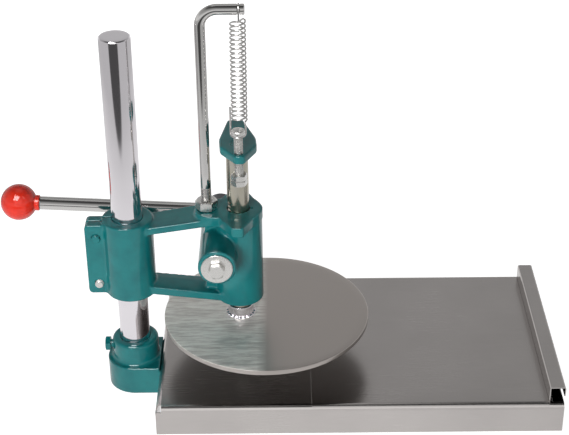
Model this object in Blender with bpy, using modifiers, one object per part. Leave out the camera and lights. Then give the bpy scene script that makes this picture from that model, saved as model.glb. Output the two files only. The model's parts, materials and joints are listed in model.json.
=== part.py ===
"""Manual dough press: a rack-and-pinion arbor press with a round plate over a steel tray.

The world origin is on the column's axis at the level of the table. +X runs from the
column towards the tray's far end, +Y away from the user and +Z up. Lengths are metres.
"""
import math

import bmesh
import bpy
from mathutils import Matrix, Vector

MM = 0.001

# Clearances and machining allowances shared by all the pieces
GAP = 0.3 * MM
OVERRUN = 4.0 * MM
ROUND_SIDES = 48
MEDIUM_SIDES = 36
SMALL_SIDES = 20
MERGE = 0.01 * MM
SHARP_ANGLE = math.radians(35.0)

# The middle point of a rounded edge in a profile, as a share of its radius
ROUND_SHARE = 0.3

# Column
COLUMN_RADIUS = 17.5 * MM
COLUMN_TOP_Z = 446.0 * MM
COLUMN_SEAT_Z = 5.0 * MM
COLUMN_CHAMFER = 1.5 * MM

# Tray, one sheet folded into an open-bottomed box with a hooked rail at its far end
TRAY_LEFT_X = 29.9 * MM
TRAY_LENGTH = 465.1 * MM
TRAY_FRONT_Y = -111.5 * MM
TRAY_DEPTH = 275.3 * MM
TRAY_TOP_Z = 37.4 * MM
TRAY_SHEET = 1.3 * MM
TRAY_BEND_RADIUS = 6.5 * MM
TRAY_BEND_STEPS = 4
RELIEF_SIZE = 6.7 * MM
RAIL_WIDTH = 18.2 * MM
RAIL_HEIGHT = 18.8 * MM
RAIL_LEG = 12.0 * MM
RAIL_OVERHANG = 1.4 * MM
RAIL_BEND_RADIUS = 2.2 * MM
RAIL_ROOT = 0.9 * MM

# Base casting
FOOT_RADIUS = 33.8 * MM
BASE_LENGTH = 205.0 * MM
BASE_CORNER = 3.0 * MM
SOCKET_RADIUS = 27.1 * MM
SOCKET_TOP_Z = 62.3 * MM
SOCKET_ROUND = 3.0 * MM
SOCKET_CHAMFER = 3.0 * MM
SHOULDER_FILLET = 4.0 * MM
BASE_WALL = 8.0 * MM
BASE_ROOF = 9.0 * MM
BASE_POCKET_START_X = 42.0 * MM
BASE_RIB_HALF = 7.0 * MM
TRAY_SCREW_MIDDLE_X = 150.0 * MM
TRAY_SCREW_SPAN_X = 84.0 * MM
TRAY_SCREW_SPAN_Y = 34.0 * MM
TRAY_SCREW_RADIUS = 2.5 * MM
TRAY_SCREW_HEAD_RADIUS = 5.0 * MM
TRAY_SCREW_LENGTH = 13.0 * MM
TRAY_SCREW_SINK = 0.2 * MM

# Hexagon fasteners of the M10 size
M10_RADIUS = 4.9 * MM
M10_FLATS = 16.0 * MM
M10_HEAD = 6.4 * MM
M10_NUT = 6.5 * MM
SET_SCREW_Z = 50.2 * MM
SET_SCREW_STANDOFF = 2.5 * MM

# Press head casting
SLEEVE_RADIUS = 29.0 * MM
SLEEVE_BOTTOM_Z = 127.3 * MM
SLEEVE_TOP_Z = 224.0 * MM
SLEEVE_CHAMFER = 2.5 * MM
LUG_REACH = 48.4 * MM
LUG_HALF = 11.8 * MM
LUG_BOTTOM_Z = 129.1 * MM
LUG_TOP_Z = 219.5 * MM
LUG_CORNER = 5.0 * MM
LUG_SLIT = 2.4 * MM
CLAMP_BOLT_X = -35.8 * MM
CLAMP_BOLT_UPPER_Z = 202.6 * MM
CLAMP_BOLT_LOWER_Z = 142.2 * MM
CLAMP_BOLT_PROUD = 3.0 * MM
ARM_END_X = 113.0 * MM
UPPER_ARM_THICKNESS = 8.6 * MM
UPPER_ARM_TOP_Z = 214.8 * MM
UPPER_ARM_RISE = 21.2 * MM
UPPER_ARM_HALF_START = 18.4 * MM
UPPER_ARM_HALF_END = 20.6 * MM
LOWER_ARM_THICKNESS = 9.6 * MM
LOWER_ARM_TOP_Z = 142.9 * MM
LOWER_ARM_FALL = 15.1 * MM
LOWER_ARM_HALF_START = 17.5 * MM
LOWER_ARM_HALF_END = 18.4 * MM
RAM_X = 126.7 * MM
HOUSING_RADIUS = 27.0 * MM
HOUSING_BOTTOM_Z = 118.4 * MM
HOUSING_TOP_Z = 235.0 * MM
HOUSING_CHAMFER = 0.5 * MM
PAD_THICKNESS = 12.3 * MM
PAD_TIP_Y = 46.9 * MM
PAD_TIP_HALF = 6.0 * MM
PAD_SIDE_X = 26.6 * MM
PAD_SIDE_HALF = 3.5 * MM
PAD_NECK_X = -21.2 * MM
PAD_NECK_HALF = 22.4 * MM
PAD_END_X = -49.0 * MM
PAD_END_ROUND = 20.0 * MM
PAD_TIP_ROUND = 3.5 * MM
PAD_SIDE_ROUND = 5.0 * MM
WEB_START_X = 88.0 * MM
WEB_HALF = 7.0 * MM

# Rack and pinion
GEAR_MODULE = 1.5 * MM
PINION_TEETH = 18
PRESSURE_ANGLE = math.radians(20.0)
TOOTH_CLEARANCE_SHARE = 0.25
TOOTH_THINNING = 0.25 * MM
TIP_TURNING = 0.1 * MM
FLANK_STEPS = 2
RACK_PITCH_DEPTH = 2.5 * MM
RACK_BOTTOM_Z = 158.0 * MM
RACK_TOP_Z = 244.0 * MM
PINION_Z = 191.5 * MM
PINION_FACE = 22.0 * MM
BOSS_RADIUS = 21.3 * MM
BOSS_HALF = 59.7 * MM
SHAFT_NECK_RADIUS = 9.0 * MM
WASHER_RADIUS = 17.8 * MM
WASHER_THICKNESS = 2.5 * MM
PINION_BOLT_LENGTH = 22.0 * MM

# Ram, its cap and the plate that it carries
RAM_RADIUS = 12.5 * MM
RAM_SPIGOT_RADIUS = 10.0 * MM
CAP_TOP_Z = 317.0 * MM
CAP_THICKNESS = 10.4 * MM
CAP_POCKET_DEPTH = 5.6 * MM
CAP_SHIFT = 1.6 * MM
CAP_TURN = math.radians(4.5)
CAP_HALF = 20.7 * MM
CAP_NOSE_Y = 32.5 * MM
CAP_NOSE_HALF = 5.0 * MM
CAP_NOSE_ROUND = 6.5 * MM
CAP_SHOULDER_FRONT_Y = 6.0 * MM
CAP_SHOULDER_BACK_Y = 13.0 * MM
CAP_SHOULDER_FRONT_ROUND = 15.0 * MM
CAP_SHOULDER_BACK_ROUND = 28.0 * MM
CAP_TAIL_Y = 59.5 * MM
CAP_TAIL_HALF = 8.9 * MM
CAP_TAIL_ROUND = 3.5 * MM
CAP_EDGE_ROUND = 1.2 * MM
CAP_SCREW_RADIUS = 4.0 * MM
CAP_SCREW_HEAD_RADIUS = 8.0 * MM
CAP_SCREW_LENGTH = 20.0 * MM
STOP_SCREW_SHIFT = 2.8 * MM
STOP_SCREW_REACH = 21.4 * MM
STOP_HEAD_RADIUS = 7.8 * MM
STOP_HEAD_HEIGHT = 5.5 * MM
STOP_HEAD_ROUND = 2.4 * MM
STOP_HEAD_Z = 338.8 * MM
STOP_END_Z = 276.2 * MM
STOP_NUT_LIFT = 0.8 * MM
STOP_NUT_TURN = math.radians(-20.0)
DISC_RADIUS = 120.0 * MM
DISC_THICKNESS = 6.0 * MM
DISC_BOTTOM_Z = 88.3 * MM
DISC_OFFSET_X = 29.9 * MM
DISC_EDGE_ROUND = 1.0 * MM
DISC_SIDES = 96
COLLAR_RADIUS = 15.0 * MM
COLLAR_HEIGHT = 13.0 * MM
DISC_SCREW_RADIUS = 4.0 * MM
DISC_SCREW_HEAD_RADIUS = 7.8 * MM
DISC_SCREW_LENGTH = 22.0 * MM

# Hanger rod and its nut
HANGER_X = 90.9 * MM
HANGER_RADIUS = 6.0 * MM
HANGER_FOOT_DEPTH = 10.0 * MM
HANGER_TOP_Z = 474.9 * MM
HANGER_BEND = 19.0 * MM
HANGER_BEND_STEPS = 8
HANGER_END_X = 139.1 * MM
HANGER_RESOLUTION = 6
HOOK_X = 132.6 * MM
GROOVE_HALF = 1.7 * MM
GROOVE_DEPTH = 1.4 * MM
HANGER_NUT_FLATS = 22.0 * MM
HANGER_NUT_HEIGHT = 10.8 * MM

# Return spring
WIRE_RADIUS = 1.0 * MM
COIL_RADIUS = 8.3 * MM
COIL_COUNT = 22
COIL_POINTS = 8
COIL_LAST_SHARE = 0.13
COIL_TOP_Z = 461.0 * MM
COIL_BOTTOM_Z = 352.0 * MM
COIL_TOP_SHIFT = 1.5 * MM
COIL_FOOT_SHIFT = 1.5 * MM
COIL_FOOT_BACK = 8.4 * MM
HOOK_STEPS = 8
HOOK_TAIL = 6.5 * MM
HOOK_RISE = 4.5 * MM
HOOK_DROP = 3.0 * MM
LOOP_HALF = 8.2 * MM
LOOP_BACK = 5.0 * MM
LOOP_FRONT = 6.7 * MM
LOOP_STEPS = 8
LOOP_ELBOW = 9.0 * MM
LOOP_TAIL_Z = 369.0 * MM

# The upper hook's way into the coils: right and back as shares of the coil's radius,
# and up as a share of the hook's rise
HOOK_BEND_SHARES = ((0.67, 0.6, 0.33), (1.0, 0.4, 0.11))
SPRING_LEAST_GAP = 0.4 * MM
SPRING_NEAR = 8.0 * MM

# Lever, hub and knob
LEVER_PLANE_Y = 70.2 * MM
LEVER_ANGLE = math.radians(3.3)
LEVER_REACH = 238.9 * MM
LEVER_RADIUS = 8.0 * MM
LEVER_SPIGOT_RADIUS = 6.0 * MM
HUB_RADIUS = 18.0 * MM
HUB_LENGTH = 20.0 * MM
HUB_FLAT_DEPTH = 0.9 * MM
HUB_GRUB_RADIUS = 4.0 * MM
KNOB_RADIUS = 21.5 * MM
KNOB_COLLAR_RADIUS = 9.3 * MM
KNOB_COLLAR_LENGTH = 3.4 * MM
KNOB_BORE_SHARE = 0.5
KNOB_ARC_STEPS = 14

# Places that follow from the sizes above
RAM = Vector((RAM_X, 0.0, 0.0))
RACK_DISTANCE = RAM_RADIUS - RACK_PITCH_DEPTH
PINION_RADIUS = GEAR_MODULE * PINION_TEETH / 2
PINION_X = RAM_X - RACK_DISTANCE - PINION_RADIUS
JOURNAL_RADIUS = PINION_RADIUS + GEAR_MODULE
PINION = Vector((PINION_X, 0.0, PINION_Z))
TRAY_RIGHT_X = TRAY_LEFT_X + TRAY_LENGTH
TRAY_BACK_Y = TRAY_FRONT_Y + TRAY_DEPTH
TRAY_UNDERSIDE_Z = TRAY_TOP_Z - TRAY_SHEET
BASE_TOP_Z = TRAY_UNDERSIDE_Z - GAP
DISC_TOP_Z = DISC_BOTTOM_Z + DISC_THICKNESS
DISC_CENTRE_X = RAM_X + DISC_OFFSET_X
CAP_BOTTOM_Z = CAP_TOP_Z - CAP_THICKNESS
RAM_TOP_Z = CAP_BOTTOM_Z + CAP_POCKET_DEPTH
PAD_BOTTOM_Z = HOUSING_TOP_Z - PAD_THICKNESS
BOLT_HOLE_RADIUS = M10_RADIUS + GAP
STOP_SCREW = Vector((RAM_X + STOP_SCREW_SHIFT, -STOP_SCREW_REACH, 0.0))
LEVER_DIRECTION = Vector((-math.cos(LEVER_ANGLE), 0.0, math.sin(LEVER_ANGLE)))
LEVER_ROOT = Vector((PINION_X, LEVER_PLANE_Y, PINION_Z))
HUB_FRONT_Y = BOSS_HALF + GAP
X_AXIS = Vector((1.0, 0.0, 0.0))
Y_AXIS = Vector((0.0, 1.0, 0.0))
Z_AXIS = Vector((0.0, 0.0, 1.0))


# Scene and collections

for old in list(bpy.data.objects):
    bpy.data.objects.remove(old)


def new_collection(name):
    """Return an empty collection of this name, linked to the scene."""
    group = bpy.data.collections.new(name)
    bpy.context.scene.collection.children.link(group)
    return group


PARTS = new_collection("dough_press")
CUTTERS = new_collection("cutters")


# Small helpers for making and joining solids

def holder_at(name, point, parent=None):
    """Add an empty at a joint's axis, which carries the pieces of one moving body."""
    holder = bpy.data.objects.new(name, None)
    holder.empty_display_size = COLUMN_RADIUS
    PARTS.objects.link(holder)
    holder.location = point
    if parent is not None:
        carry(holder, parent)
    return holder


def carry(item, holder):
    """Parent an object to a holder, keeping the object's location a world location."""
    item.parent = holder
    item.matrix_parent_inverse = Matrix.Translation(-holder.location)


def solid(name, shape, location):
    """Turn a bmesh into a smooth-shaded object at a location, outward faces first."""
    bmesh.ops.recalc_face_normals(shape, faces=shape.faces)
    mesh = bpy.data.meshes.new(name)
    shape.to_mesh(mesh)
    shape.free()
    mesh.shade_smooth()
    mesh.set_sharp_from_angle(angle=SHARP_ANGLE)
    item = bpy.data.objects.new(name, mesh)
    PARTS.objects.link(item)
    item.location = location
    return item


def cylinder(name, radius, start, end, sides=ROUND_SIDES):
    """A cylinder between two points, with its origin half way along."""
    start = Vector(start)
    end = Vector(end)
    axis = end - start
    shape = bmesh.new()
    turn = axis.to_track_quat("Z", "Y").to_matrix().to_4x4()
    bmesh.ops.create_cone(
        shape, cap_ends=True, segments=sides, radius1=radius,
        radius2=radius,
        depth=axis.length, matrix=turn)
    return solid(name, shape, (start + end) / 2)


def box(name, low, high):
    """A box between its lowest and highest corners."""
    low = Vector(low)
    high = Vector(high)
    shape = bmesh.new()
    bmesh.ops.create_cube(shape, size=1.0)
    bmesh.ops.scale(shape, vec=high - low, verts=shape.verts)
    return solid(name, shape, (low + high) / 2)


def hexagon(name, flats, start, end, turn=0.0):
    """A hexagonal prism between two points, turned about its own axis."""
    item = cylinder(name, flats / math.sqrt(3.0), start, end, sides=6)
    axis = (Vector(end) - Vector(start)).normalized()
    item.data.transform(Matrix.Rotation(turn, 4, axis))
    return item


def turned(name, profile, location, direction=Z_AXIS, sides=ROUND_SIDES, closed=False):
    """Turn a profile of (radius, height) points about the line through location.

    The points run from the top of the piece down its outer side.
    """
    shape = bmesh.new()
    points = [shape.verts.new((radius, 0.0, height)) for radius, height in profile]
    for first, second in zip(points, points[1:]):
        shape.edges.new((first, second))
    if closed:
        shape.edges.new((points[-1], points[0]))
    mesh = bpy.data.meshes.new(name)
    shape.to_mesh(mesh)
    shape.free()
    item = bpy.data.objects.new(name, mesh)
    PARTS.objects.link(item)
    item.location = location
    item.rotation_euler = direction.to_track_quat("Z", "Y").to_euler()
    spin = item.modifiers.new("turn", "SCREW")
    spin.angle = math.tau
    spin.steps = sides
    spin.render_steps = sides
    spin.use_merge_vertices = True
    spin.merge_threshold = MERGE
    spin.use_smooth_shade = True
    return item


def meshed(item):
    """Replace a curve object by its mesh, with the doubled points of its caps merged."""
    bpy.context.view_layer.update()
    graph = bpy.context.evaluated_depsgraph_get()
    mesh = bpy.data.meshes.new_from_object(item.evaluated_get(graph))
    shape = bmesh.new()
    shape.from_mesh(mesh)
    bmesh.ops.remove_doubles(shape, verts=shape.verts, dist=MERGE)
    bmesh.ops.recalc_face_normals(shape, faces=shape.faces)
    shape.to_mesh(mesh)
    shape.free()
    mesh.shade_smooth()
    mesh.set_sharp_from_angle(angle=SHARP_ANGLE)
    name = item.name
    place = item.matrix_world.copy()
    curve = item.data
    bpy.data.objects.remove(item)
    bpy.data.curves.remove(curve)
    result = bpy.data.objects.new(name, mesh)
    PARTS.objects.link(result)
    result.matrix_world = place
    return result


def plate(name, outlines, thickness, location, upright=False):
    """A flat plate of even thickness from closed outlines; inner outlines are holes.

    The outlines lie in the XY plane about location, or with upright in the XZ plane.
    """
    curve = bpy.data.curves.new(name, "CURVE")
    curve.dimensions = "2D"
    curve.fill_mode = "BOTH"
    curve.extrude = thickness / 2
    for outline in outlines:
        spline = curve.splines.new("POLY")
        spline.points.add(len(outline) - 1)
        for point, (x, y) in zip(spline.points, outline):
            point.co = (x, y, 0.0, 1.0)
        spline.use_cyclic_u = True
    item = bpy.data.objects.new(name, curve)
    PARTS.objects.link(item)
    item.location = location
    if upright:
        item.rotation_euler = (math.radians(90.0), 0.0, 0.0)
    return meshed(item)


def rod(name, points, radius, resolution):
    """A round rod along a list of points, with flat ends."""
    curve = bpy.data.curves.new(name, "CURVE")
    curve.dimensions = "3D"
    curve.bevel_depth = radius
    curve.bevel_resolution = resolution
    curve.use_fill_caps = True
    spline = curve.splines.new("POLY")
    origin = Vector(points[0])
    spline.points.add(len(points) - 1)
    for point, place in zip(spline.points, points):
        point.co = (*(Vector(place) - origin), 1.0)
    item = bpy.data.objects.new(name, curve)
    PARTS.objects.link(item)
    item.location = origin
    return meshed(item)


def rounded(corners, steps=5):
    """A closed outline whose corners (x, y, radius) become arcs of a few points."""
    outline = []
    for index, (x, y, radius) in enumerate(corners):
        corner = Vector((x, y))
        before = Vector(corners[index - 1][:2])
        after = Vector(corners[(index + 1) % len(corners)][:2])
        if radius == 0.0:
            outline.append((x, y))
            continue
        to_before = (before - corner).normalized()
        to_after = (after - corner).normalized()
        half = to_before.angle(to_after) / 2
        centre = corner + (to_before + to_after).normalized() * radius / math.sin(half)
        first = corner + to_before * radius / math.tan(half) - centre
        last = corner + to_after * radius / math.tan(half) - centre
        sweep = first.angle_signed(last)
        for step in range(steps + 1):
            turn = Matrix.Rotation(-sweep * step / steps, 2)
            outline.append(tuple(centre + turn @ first))
    return outline


def shape_with(item, tool, operation):
    """Join a tool to an object or cut it away, and hide the tool."""
    change = item.modifiers.new(tool.name, "BOOLEAN")
    change.operation = operation
    change.object = tool
    change.solver = "EXACT"
    for group in tool.users_collection:
        group.objects.unlink(tool)
    CUTTERS.objects.link(tool)
    tool.hide_render = True
    tool.display_type = "WIRE"


def cut(item, *tools):
    """Cut tools away from an object."""
    for tool in tools:
        shape_with(item, tool, "DIFFERENCE")


def join(item, *tools):
    """Join tools to an object."""
    for tool in tools:
        shape_with(item, tool, "UNION")


def bevel(item, width, steps=2, angle=math.radians(40.0)):
    """Round the sharp edges of an object."""
    edge = item.modifiers.new("edges", "BEVEL")
    edge.width = width
    edge.segments = steps
    edge.limit_method = "ANGLE"
    edge.angle_limit = angle


def finish(name, colour, roughness, metallic):
    """A Principled material of one colour."""
    material = bpy.data.materials.new(name)
    material.use_nodes = True
    shader = material.node_tree.nodes["Principled BSDF"]
    shader.inputs["Base Color"].default_value = (*colour, 1.0)
    shader.inputs["Roughness"].default_value = roughness
    shader.inputs["Metallic"].default_value = metallic
    material.diffuse_color = (*colour, 1.0)
    return material


ENAMEL = finish("teal_enamel", (0.020, 0.190, 0.195), 0.28, 0.0)
CHROME = finish("polished_chrome", (0.78, 0.78, 0.79), 0.08, 1.0)
BRUSHED = finish("brushed_stainless", (0.56, 0.55, 0.53), 0.34, 1.0)
SATIN = finish("satin_stainless", (0.44, 0.42, 0.41), 0.30, 1.0)
ZINC = finish("zinc_plate", (0.72, 0.72, 0.70), 0.30, 1.0)
GROUND_STEEL = finish("ground_steel", (0.62, 0.60, 0.52), 0.22, 1.0)
RED = finish("red_plastic", (0.80, 0.030, 0.012), 0.25, 0.0)


def give(item, material, holder):
    """Set a piece's one material and the body that carries it."""
    item.data.materials.clear()
    item.data.materials.append(material)
    for change in item.modifiers:
        if change.type == "BOOLEAN":
            carry(change.object, holder)
    carry(item, holder)
    return item


# Bodies: each holder stands on the axis of the joint that moves it

BASE_BODY = holder_at("base_body", (0.0, 0.0, 0.0))
COLUMN_BODY = holder_at("column_body", (0.0, 0.0, COLUMN_SEAT_Z), BASE_BODY)
HEAD_BODY = holder_at("head_body", (0.0, 0.0, SLEEVE_BOTTOM_Z), COLUMN_BODY)
RAM_BODY = holder_at("ram_body", (RAM_X, 0.0, DISC_BOTTOM_Z), HEAD_BODY)
LEVER_BODY = holder_at("lever_body", PINION, HEAD_BODY)


# Base, tray and column

def tray_screw_places():
    """The four places of the tray's screws, on the arm under the plate."""
    for side_x in (-1, 1):
        for side_y in (-1, 1):
            x = TRAY_SCREW_MIDDLE_X + side_x * TRAY_SCREW_SPAN_X / 2
            yield x, side_y * TRAY_SCREW_SPAN_Y / 2


def countersunk(name, place, top_z, head_radius, radius, length, facing=1.0):
    """A countersunk screw whose flat head is at top_z; facing -1 points the head down."""
    cone = head_radius - radius
    profile = [
        (0.0, 0.0),
        (head_radius, 0.0),
        (radius, -cone),
        (radius, -length),
        (0.0, -length),
    ]
    direction = Z_AXIS * facing
    return turned(name, profile, (place[0], place[1], top_z), direction, SMALL_SIDES)


def countersink(name, place, top_z, head_radius, radius, length, facing=1.0):
    """The hole for a countersunk screw, wider than the screw by the gap all round."""
    cone = head_radius - radius
    wide = head_radius + GAP
    narrow = radius + GAP
    profile = [
        (0.0, OVERRUN),
        (wide + OVERRUN, OVERRUN),
        (wide, 0.0),
        (narrow, -cone),
        (narrow, -length - GAP),
        (0.0, -length - GAP),
    ]
    direction = Z_AXIS * facing
    return turned(name, profile, (place[0], place[1], top_z), direction, SMALL_SIDES)


def make_base():
    """The foot, the column's socket and the arm that reaches under the tray."""
    base = plate("base_casting", [rounded([
        (-FOOT_RADIUS, -FOOT_RADIUS, FOOT_RADIUS),
        (BASE_LENGTH, -FOOT_RADIUS, BASE_CORNER),
        (BASE_LENGTH, FOOT_RADIUS, BASE_CORNER),
        (-FOOT_RADIUS, FOOT_RADIUS, FOOT_RADIUS),
    ], steps=16)], BASE_TOP_Z, (0, 0, BASE_TOP_Z / 2))
    fillet_radius = SOCKET_RADIUS + SHOULDER_FILLET
    socket = turned("base_socket", [
        (0.0, SOCKET_TOP_Z),
        (SOCKET_RADIUS - SOCKET_ROUND, SOCKET_TOP_Z),
        (SOCKET_RADIUS - SOCKET_ROUND * ROUND_SHARE, SOCKET_TOP_Z - SOCKET_ROUND * ROUND_SHARE),
        (SOCKET_RADIUS, SOCKET_TOP_Z - SOCKET_ROUND),
        (SOCKET_RADIUS, BASE_TOP_Z + SHOULDER_FILLET),
        (SOCKET_RADIUS + SHOULDER_FILLET * ROUND_SHARE,
         BASE_TOP_Z + SHOULDER_FILLET * ROUND_SHARE),
        (fillet_radius, BASE_TOP_Z - GAP),
        (0.0, BASE_TOP_Z - GAP),
    ], (0, 0, 0))
    join(base, socket)
    bore_radius = COLUMN_RADIUS + GAP
    bore = turned("base_bore", [
        (0.0, SOCKET_TOP_Z + OVERRUN),
        (bore_radius + SOCKET_CHAMFER + OVERRUN, SOCKET_TOP_Z + OVERRUN),
        (bore_radius, SOCKET_TOP_Z - SOCKET_CHAMFER),
        (bore_radius, COLUMN_SEAT_Z - GAP),
        (0.0, COLUMN_SEAT_Z - GAP),
    ], (0, 0, 0))
    screw_hole = cylinder(
        "base_screw_hole", BOLT_HOLE_RADIUS,
        (-SOCKET_RADIUS - OVERRUN, 0, SET_SCREW_Z), (0, 0, SET_SCREW_Z), SMALL_SIDES)
    groove = box(
        "base_groove",
        (TRAY_LEFT_X - GAP, -FOOT_RADIUS - OVERRUN, TRAY_TOP_Z - TRAY_BEND_RADIUS - GAP),
        (TRAY_LEFT_X + TRAY_BEND_RADIUS + GAP, FOOT_RADIUS + OVERRUN, BASE_TOP_Z + OVERRUN))
    cut(base, bore, screw_hole, groove)
    pocket_half = FOOT_RADIUS - BASE_WALL
    pocket_top = BASE_TOP_Z - BASE_ROOF
    rooms = (
        ("base_pocket_near", BASE_POCKET_START_X, RAM_X - BASE_RIB_HALF),
        ("base_pocket_far", RAM_X + BASE_RIB_HALF, BASE_LENGTH - BASE_WALL),
    )
    for name, start, end in rooms:
        cut(base, box(name, (start, -pocket_half, -OVERRUN), (end, pocket_half, pocket_top)))
    for index, place in enumerate(tray_screw_places(), 1):
        cut(base, tray_screw_hole(f"base_tapping_{index}", place))
    return give(base, ENAMEL, BASE_BODY)


def tray_screw_hole(name, place):
    """The countersunk hole that the tray and the base share at one screw."""
    return countersink(
        name, place, TRAY_TOP_Z - TRAY_SCREW_SINK, TRAY_SCREW_HEAD_RADIUS,
        TRAY_SCREW_RADIUS, TRAY_SCREW_LENGTH + OVERRUN)


def make_tray_screws():
    """Four countersunk screws that hold the tray on the base."""
    for index, place in enumerate(tray_screw_places(), 1):
        screw = countersunk(
            f"tray_screw_{index}", place, TRAY_TOP_Z - TRAY_SCREW_SINK,
            TRAY_SCREW_HEAD_RADIUS, TRAY_SCREW_RADIUS, TRAY_SCREW_LENGTH)
        give(screw, ZINC, BASE_BODY)


def folded_box(name, inset):
    """The tray's outer or inner form: a box whose near, left and far edges are rounded.

    inset is zero for the outer form and the sheet's thickness for the inner one.
    """
    left = TRAY_LEFT_X + inset
    right = TRAY_RIGHT_X - inset
    front = TRAY_FRONT_Y + inset
    back = TRAY_BACK_Y - inset
    top = TRAY_TOP_Z - inset
    bottom = -OVERRUN if inset else 0.0
    radius = TRAY_BEND_RADIUS - inset
    item = box(name, (left, front, bottom), (right, back, top))
    shape = bmesh.new()
    shape.from_mesh(item.data)
    half_x = (right - left) / 2
    half_z = (top - bottom) / 2
    edges = []
    for edge in shape.edges:
        first, second = (corner.co for corner in edge.verts)
        at_top = min(first.z, second.z) > half_z - MERGE
        at_right = min(first.x, second.x) > half_x - MERGE
        if at_top and not at_right:
            edges.append(edge)
    bmesh.ops.bevel(
        shape, geom=edges, offset=radius, segments=TRAY_BEND_STEPS, profile=0.5,
        affect="EDGES")
    shape.to_mesh(item.data)
    shape.free()
    item.data.set_sharp_from_angle(angle=SHARP_ANGLE)
    return item


def rail_section():
    """The rail's bent strip in the XZ plane: up, across, and down to a free edge."""
    left = TRAY_RIGHT_X + RAIL_OVERHANG - RAIL_WIDTH
    right = TRAY_RIGHT_X + RAIL_OVERHANG
    root = TRAY_UNDERSIDE_Z + RAIL_ROOT / 2
    top = TRAY_TOP_Z + RAIL_HEIGHT
    leg = top - RAIL_LEG
    inner = RAIL_BEND_RADIUS - TRAY_SHEET
    return rounded([
        (left, root, 0.0),
        (left, top, RAIL_BEND_RADIUS),
        (right, top, RAIL_BEND_RADIUS),
        (right, leg, 0.0),
        (right - TRAY_SHEET, leg, 0.0),
        (right - TRAY_SHEET, top - TRAY_SHEET, inner),
        (left + TRAY_SHEET, top - TRAY_SHEET, inner),
        (left + TRAY_SHEET, root, 0.0),
    ], steps=3)


def make_tray():
    """The folded tray: shell, notch over the base arm, corner reliefs, slot and rail."""
    tray = folded_box("tray", 0.0)
    cut(tray, folded_box("tray_hollow", TRAY_SHEET))
    notch_half = FOOT_RADIUS + GAP
    cut(tray, box(
        "tray_notch",
        (TRAY_LEFT_X - OVERRUN, -notch_half, -OVERRUN),
        (TRAY_LEFT_X + TRAY_SHEET + GAP, notch_half, TRAY_TOP_Z - TRAY_BEND_RADIUS)))
    for name, y in (("tray_relief_front", TRAY_FRONT_Y), ("tray_relief_back", TRAY_BACK_Y)):
        cut(tray, box(
            name,
            (TRAY_LEFT_X - OVERRUN, y - RELIEF_SIZE, TRAY_TOP_Z - RELIEF_SIZE),
            (TRAY_LEFT_X + RELIEF_SIZE, y + RELIEF_SIZE, TRAY_TOP_Z + OVERRUN)))
    rail_inside_x = TRAY_RIGHT_X + RAIL_OVERHANG - RAIL_WIDTH + TRAY_SHEET
    slot_left = rail_inside_x - GAP
    slot_half = TRAY_DEPTH / 2 - TRAY_BEND_RADIUS
    middle_y = TRAY_FRONT_Y + TRAY_DEPTH / 2
    cut(tray, box(
        "tray_slot",
        (slot_left, middle_y - slot_half, TRAY_UNDERSIDE_Z - OVERRUN),
        (TRAY_RIGHT_X - TRAY_SHEET, middle_y + slot_half, TRAY_TOP_Z + OVERRUN)))
    rail = plate(
        "tray_rail", [rail_section()], 2 * (slot_half - GAP), (0, middle_y, 0), upright=True)
    join(tray, rail)
    for index, place in enumerate(tray_screw_places(), 1):
        cut(tray, tray_screw_hole(f"tray_hole_{index}", place))
    return give(tray, SATIN, BASE_BODY)


def make_column():
    """The polished column and the set screw that grips it in the base."""
    column = turned("column", [
        (0.0, COLUMN_TOP_Z),
        (COLUMN_RADIUS - COLUMN_CHAMFER, COLUMN_TOP_Z),
        (COLUMN_RADIUS, COLUMN_TOP_Z - COLUMN_CHAMFER),
        (COLUMN_RADIUS, COLUMN_SEAT_Z),
        (0.0, COLUMN_SEAT_Z),
    ], (0, 0, 0))
    give(column, CHROME, COLUMN_BODY)
    head_start = -SOCKET_RADIUS - SET_SCREW_STANDOFF
    screw = hexagon(
        "column_set_screw", M10_FLATS,
        (head_start - M10_HEAD, 0, SET_SCREW_Z), (head_start, 0, SET_SCREW_Z))
    shank = cylinder(
        "column_set_screw_shank", M10_RADIUS, (head_start - M10_HEAD / 2, 0, SET_SCREW_Z),
        (-COLUMN_RADIUS - GAP, 0, SET_SCREW_Z), SMALL_SIDES)
    join(screw, shank)
    give(screw, ENAMEL, BASE_BODY)


# Press head

def sloping_arm(name, top_z, change, thickness, half_start, half_end):
    """An arm from the sleeve into the ram's housing, tapered in plan and sloping."""
    length = ARM_END_X
    slope = math.atan2(change, RAM_X)
    outline = [(0.0, -half_start), (length, -half_end), (length, half_end), (0.0, half_start)]
    arm = plate(name, [outline], thickness, (0, 0, top_z - thickness / 2))
    arm.rotation_euler = (0.0, -slope, 0.0)
    return arm


def pad_outline():
    """The plan of the head's top pad about the ram's axis: a diamond with a rounded tail."""
    front = [
        (PAD_END_X, -PAD_NECK_HALF, PAD_END_ROUND),
        (PAD_NECK_X, -PAD_NECK_HALF, 0.0),
        (-PAD_TIP_HALF, -PAD_TIP_Y, PAD_TIP_ROUND),
        (PAD_TIP_HALF, -PAD_TIP_Y, PAD_TIP_ROUND),
        (PAD_SIDE_X, -PAD_SIDE_HALF, PAD_SIDE_ROUND / 2),
    ]
    back = [(x, -y, radius) for x, y, radius in reversed(front)]
    return rounded(front + back)


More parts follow.
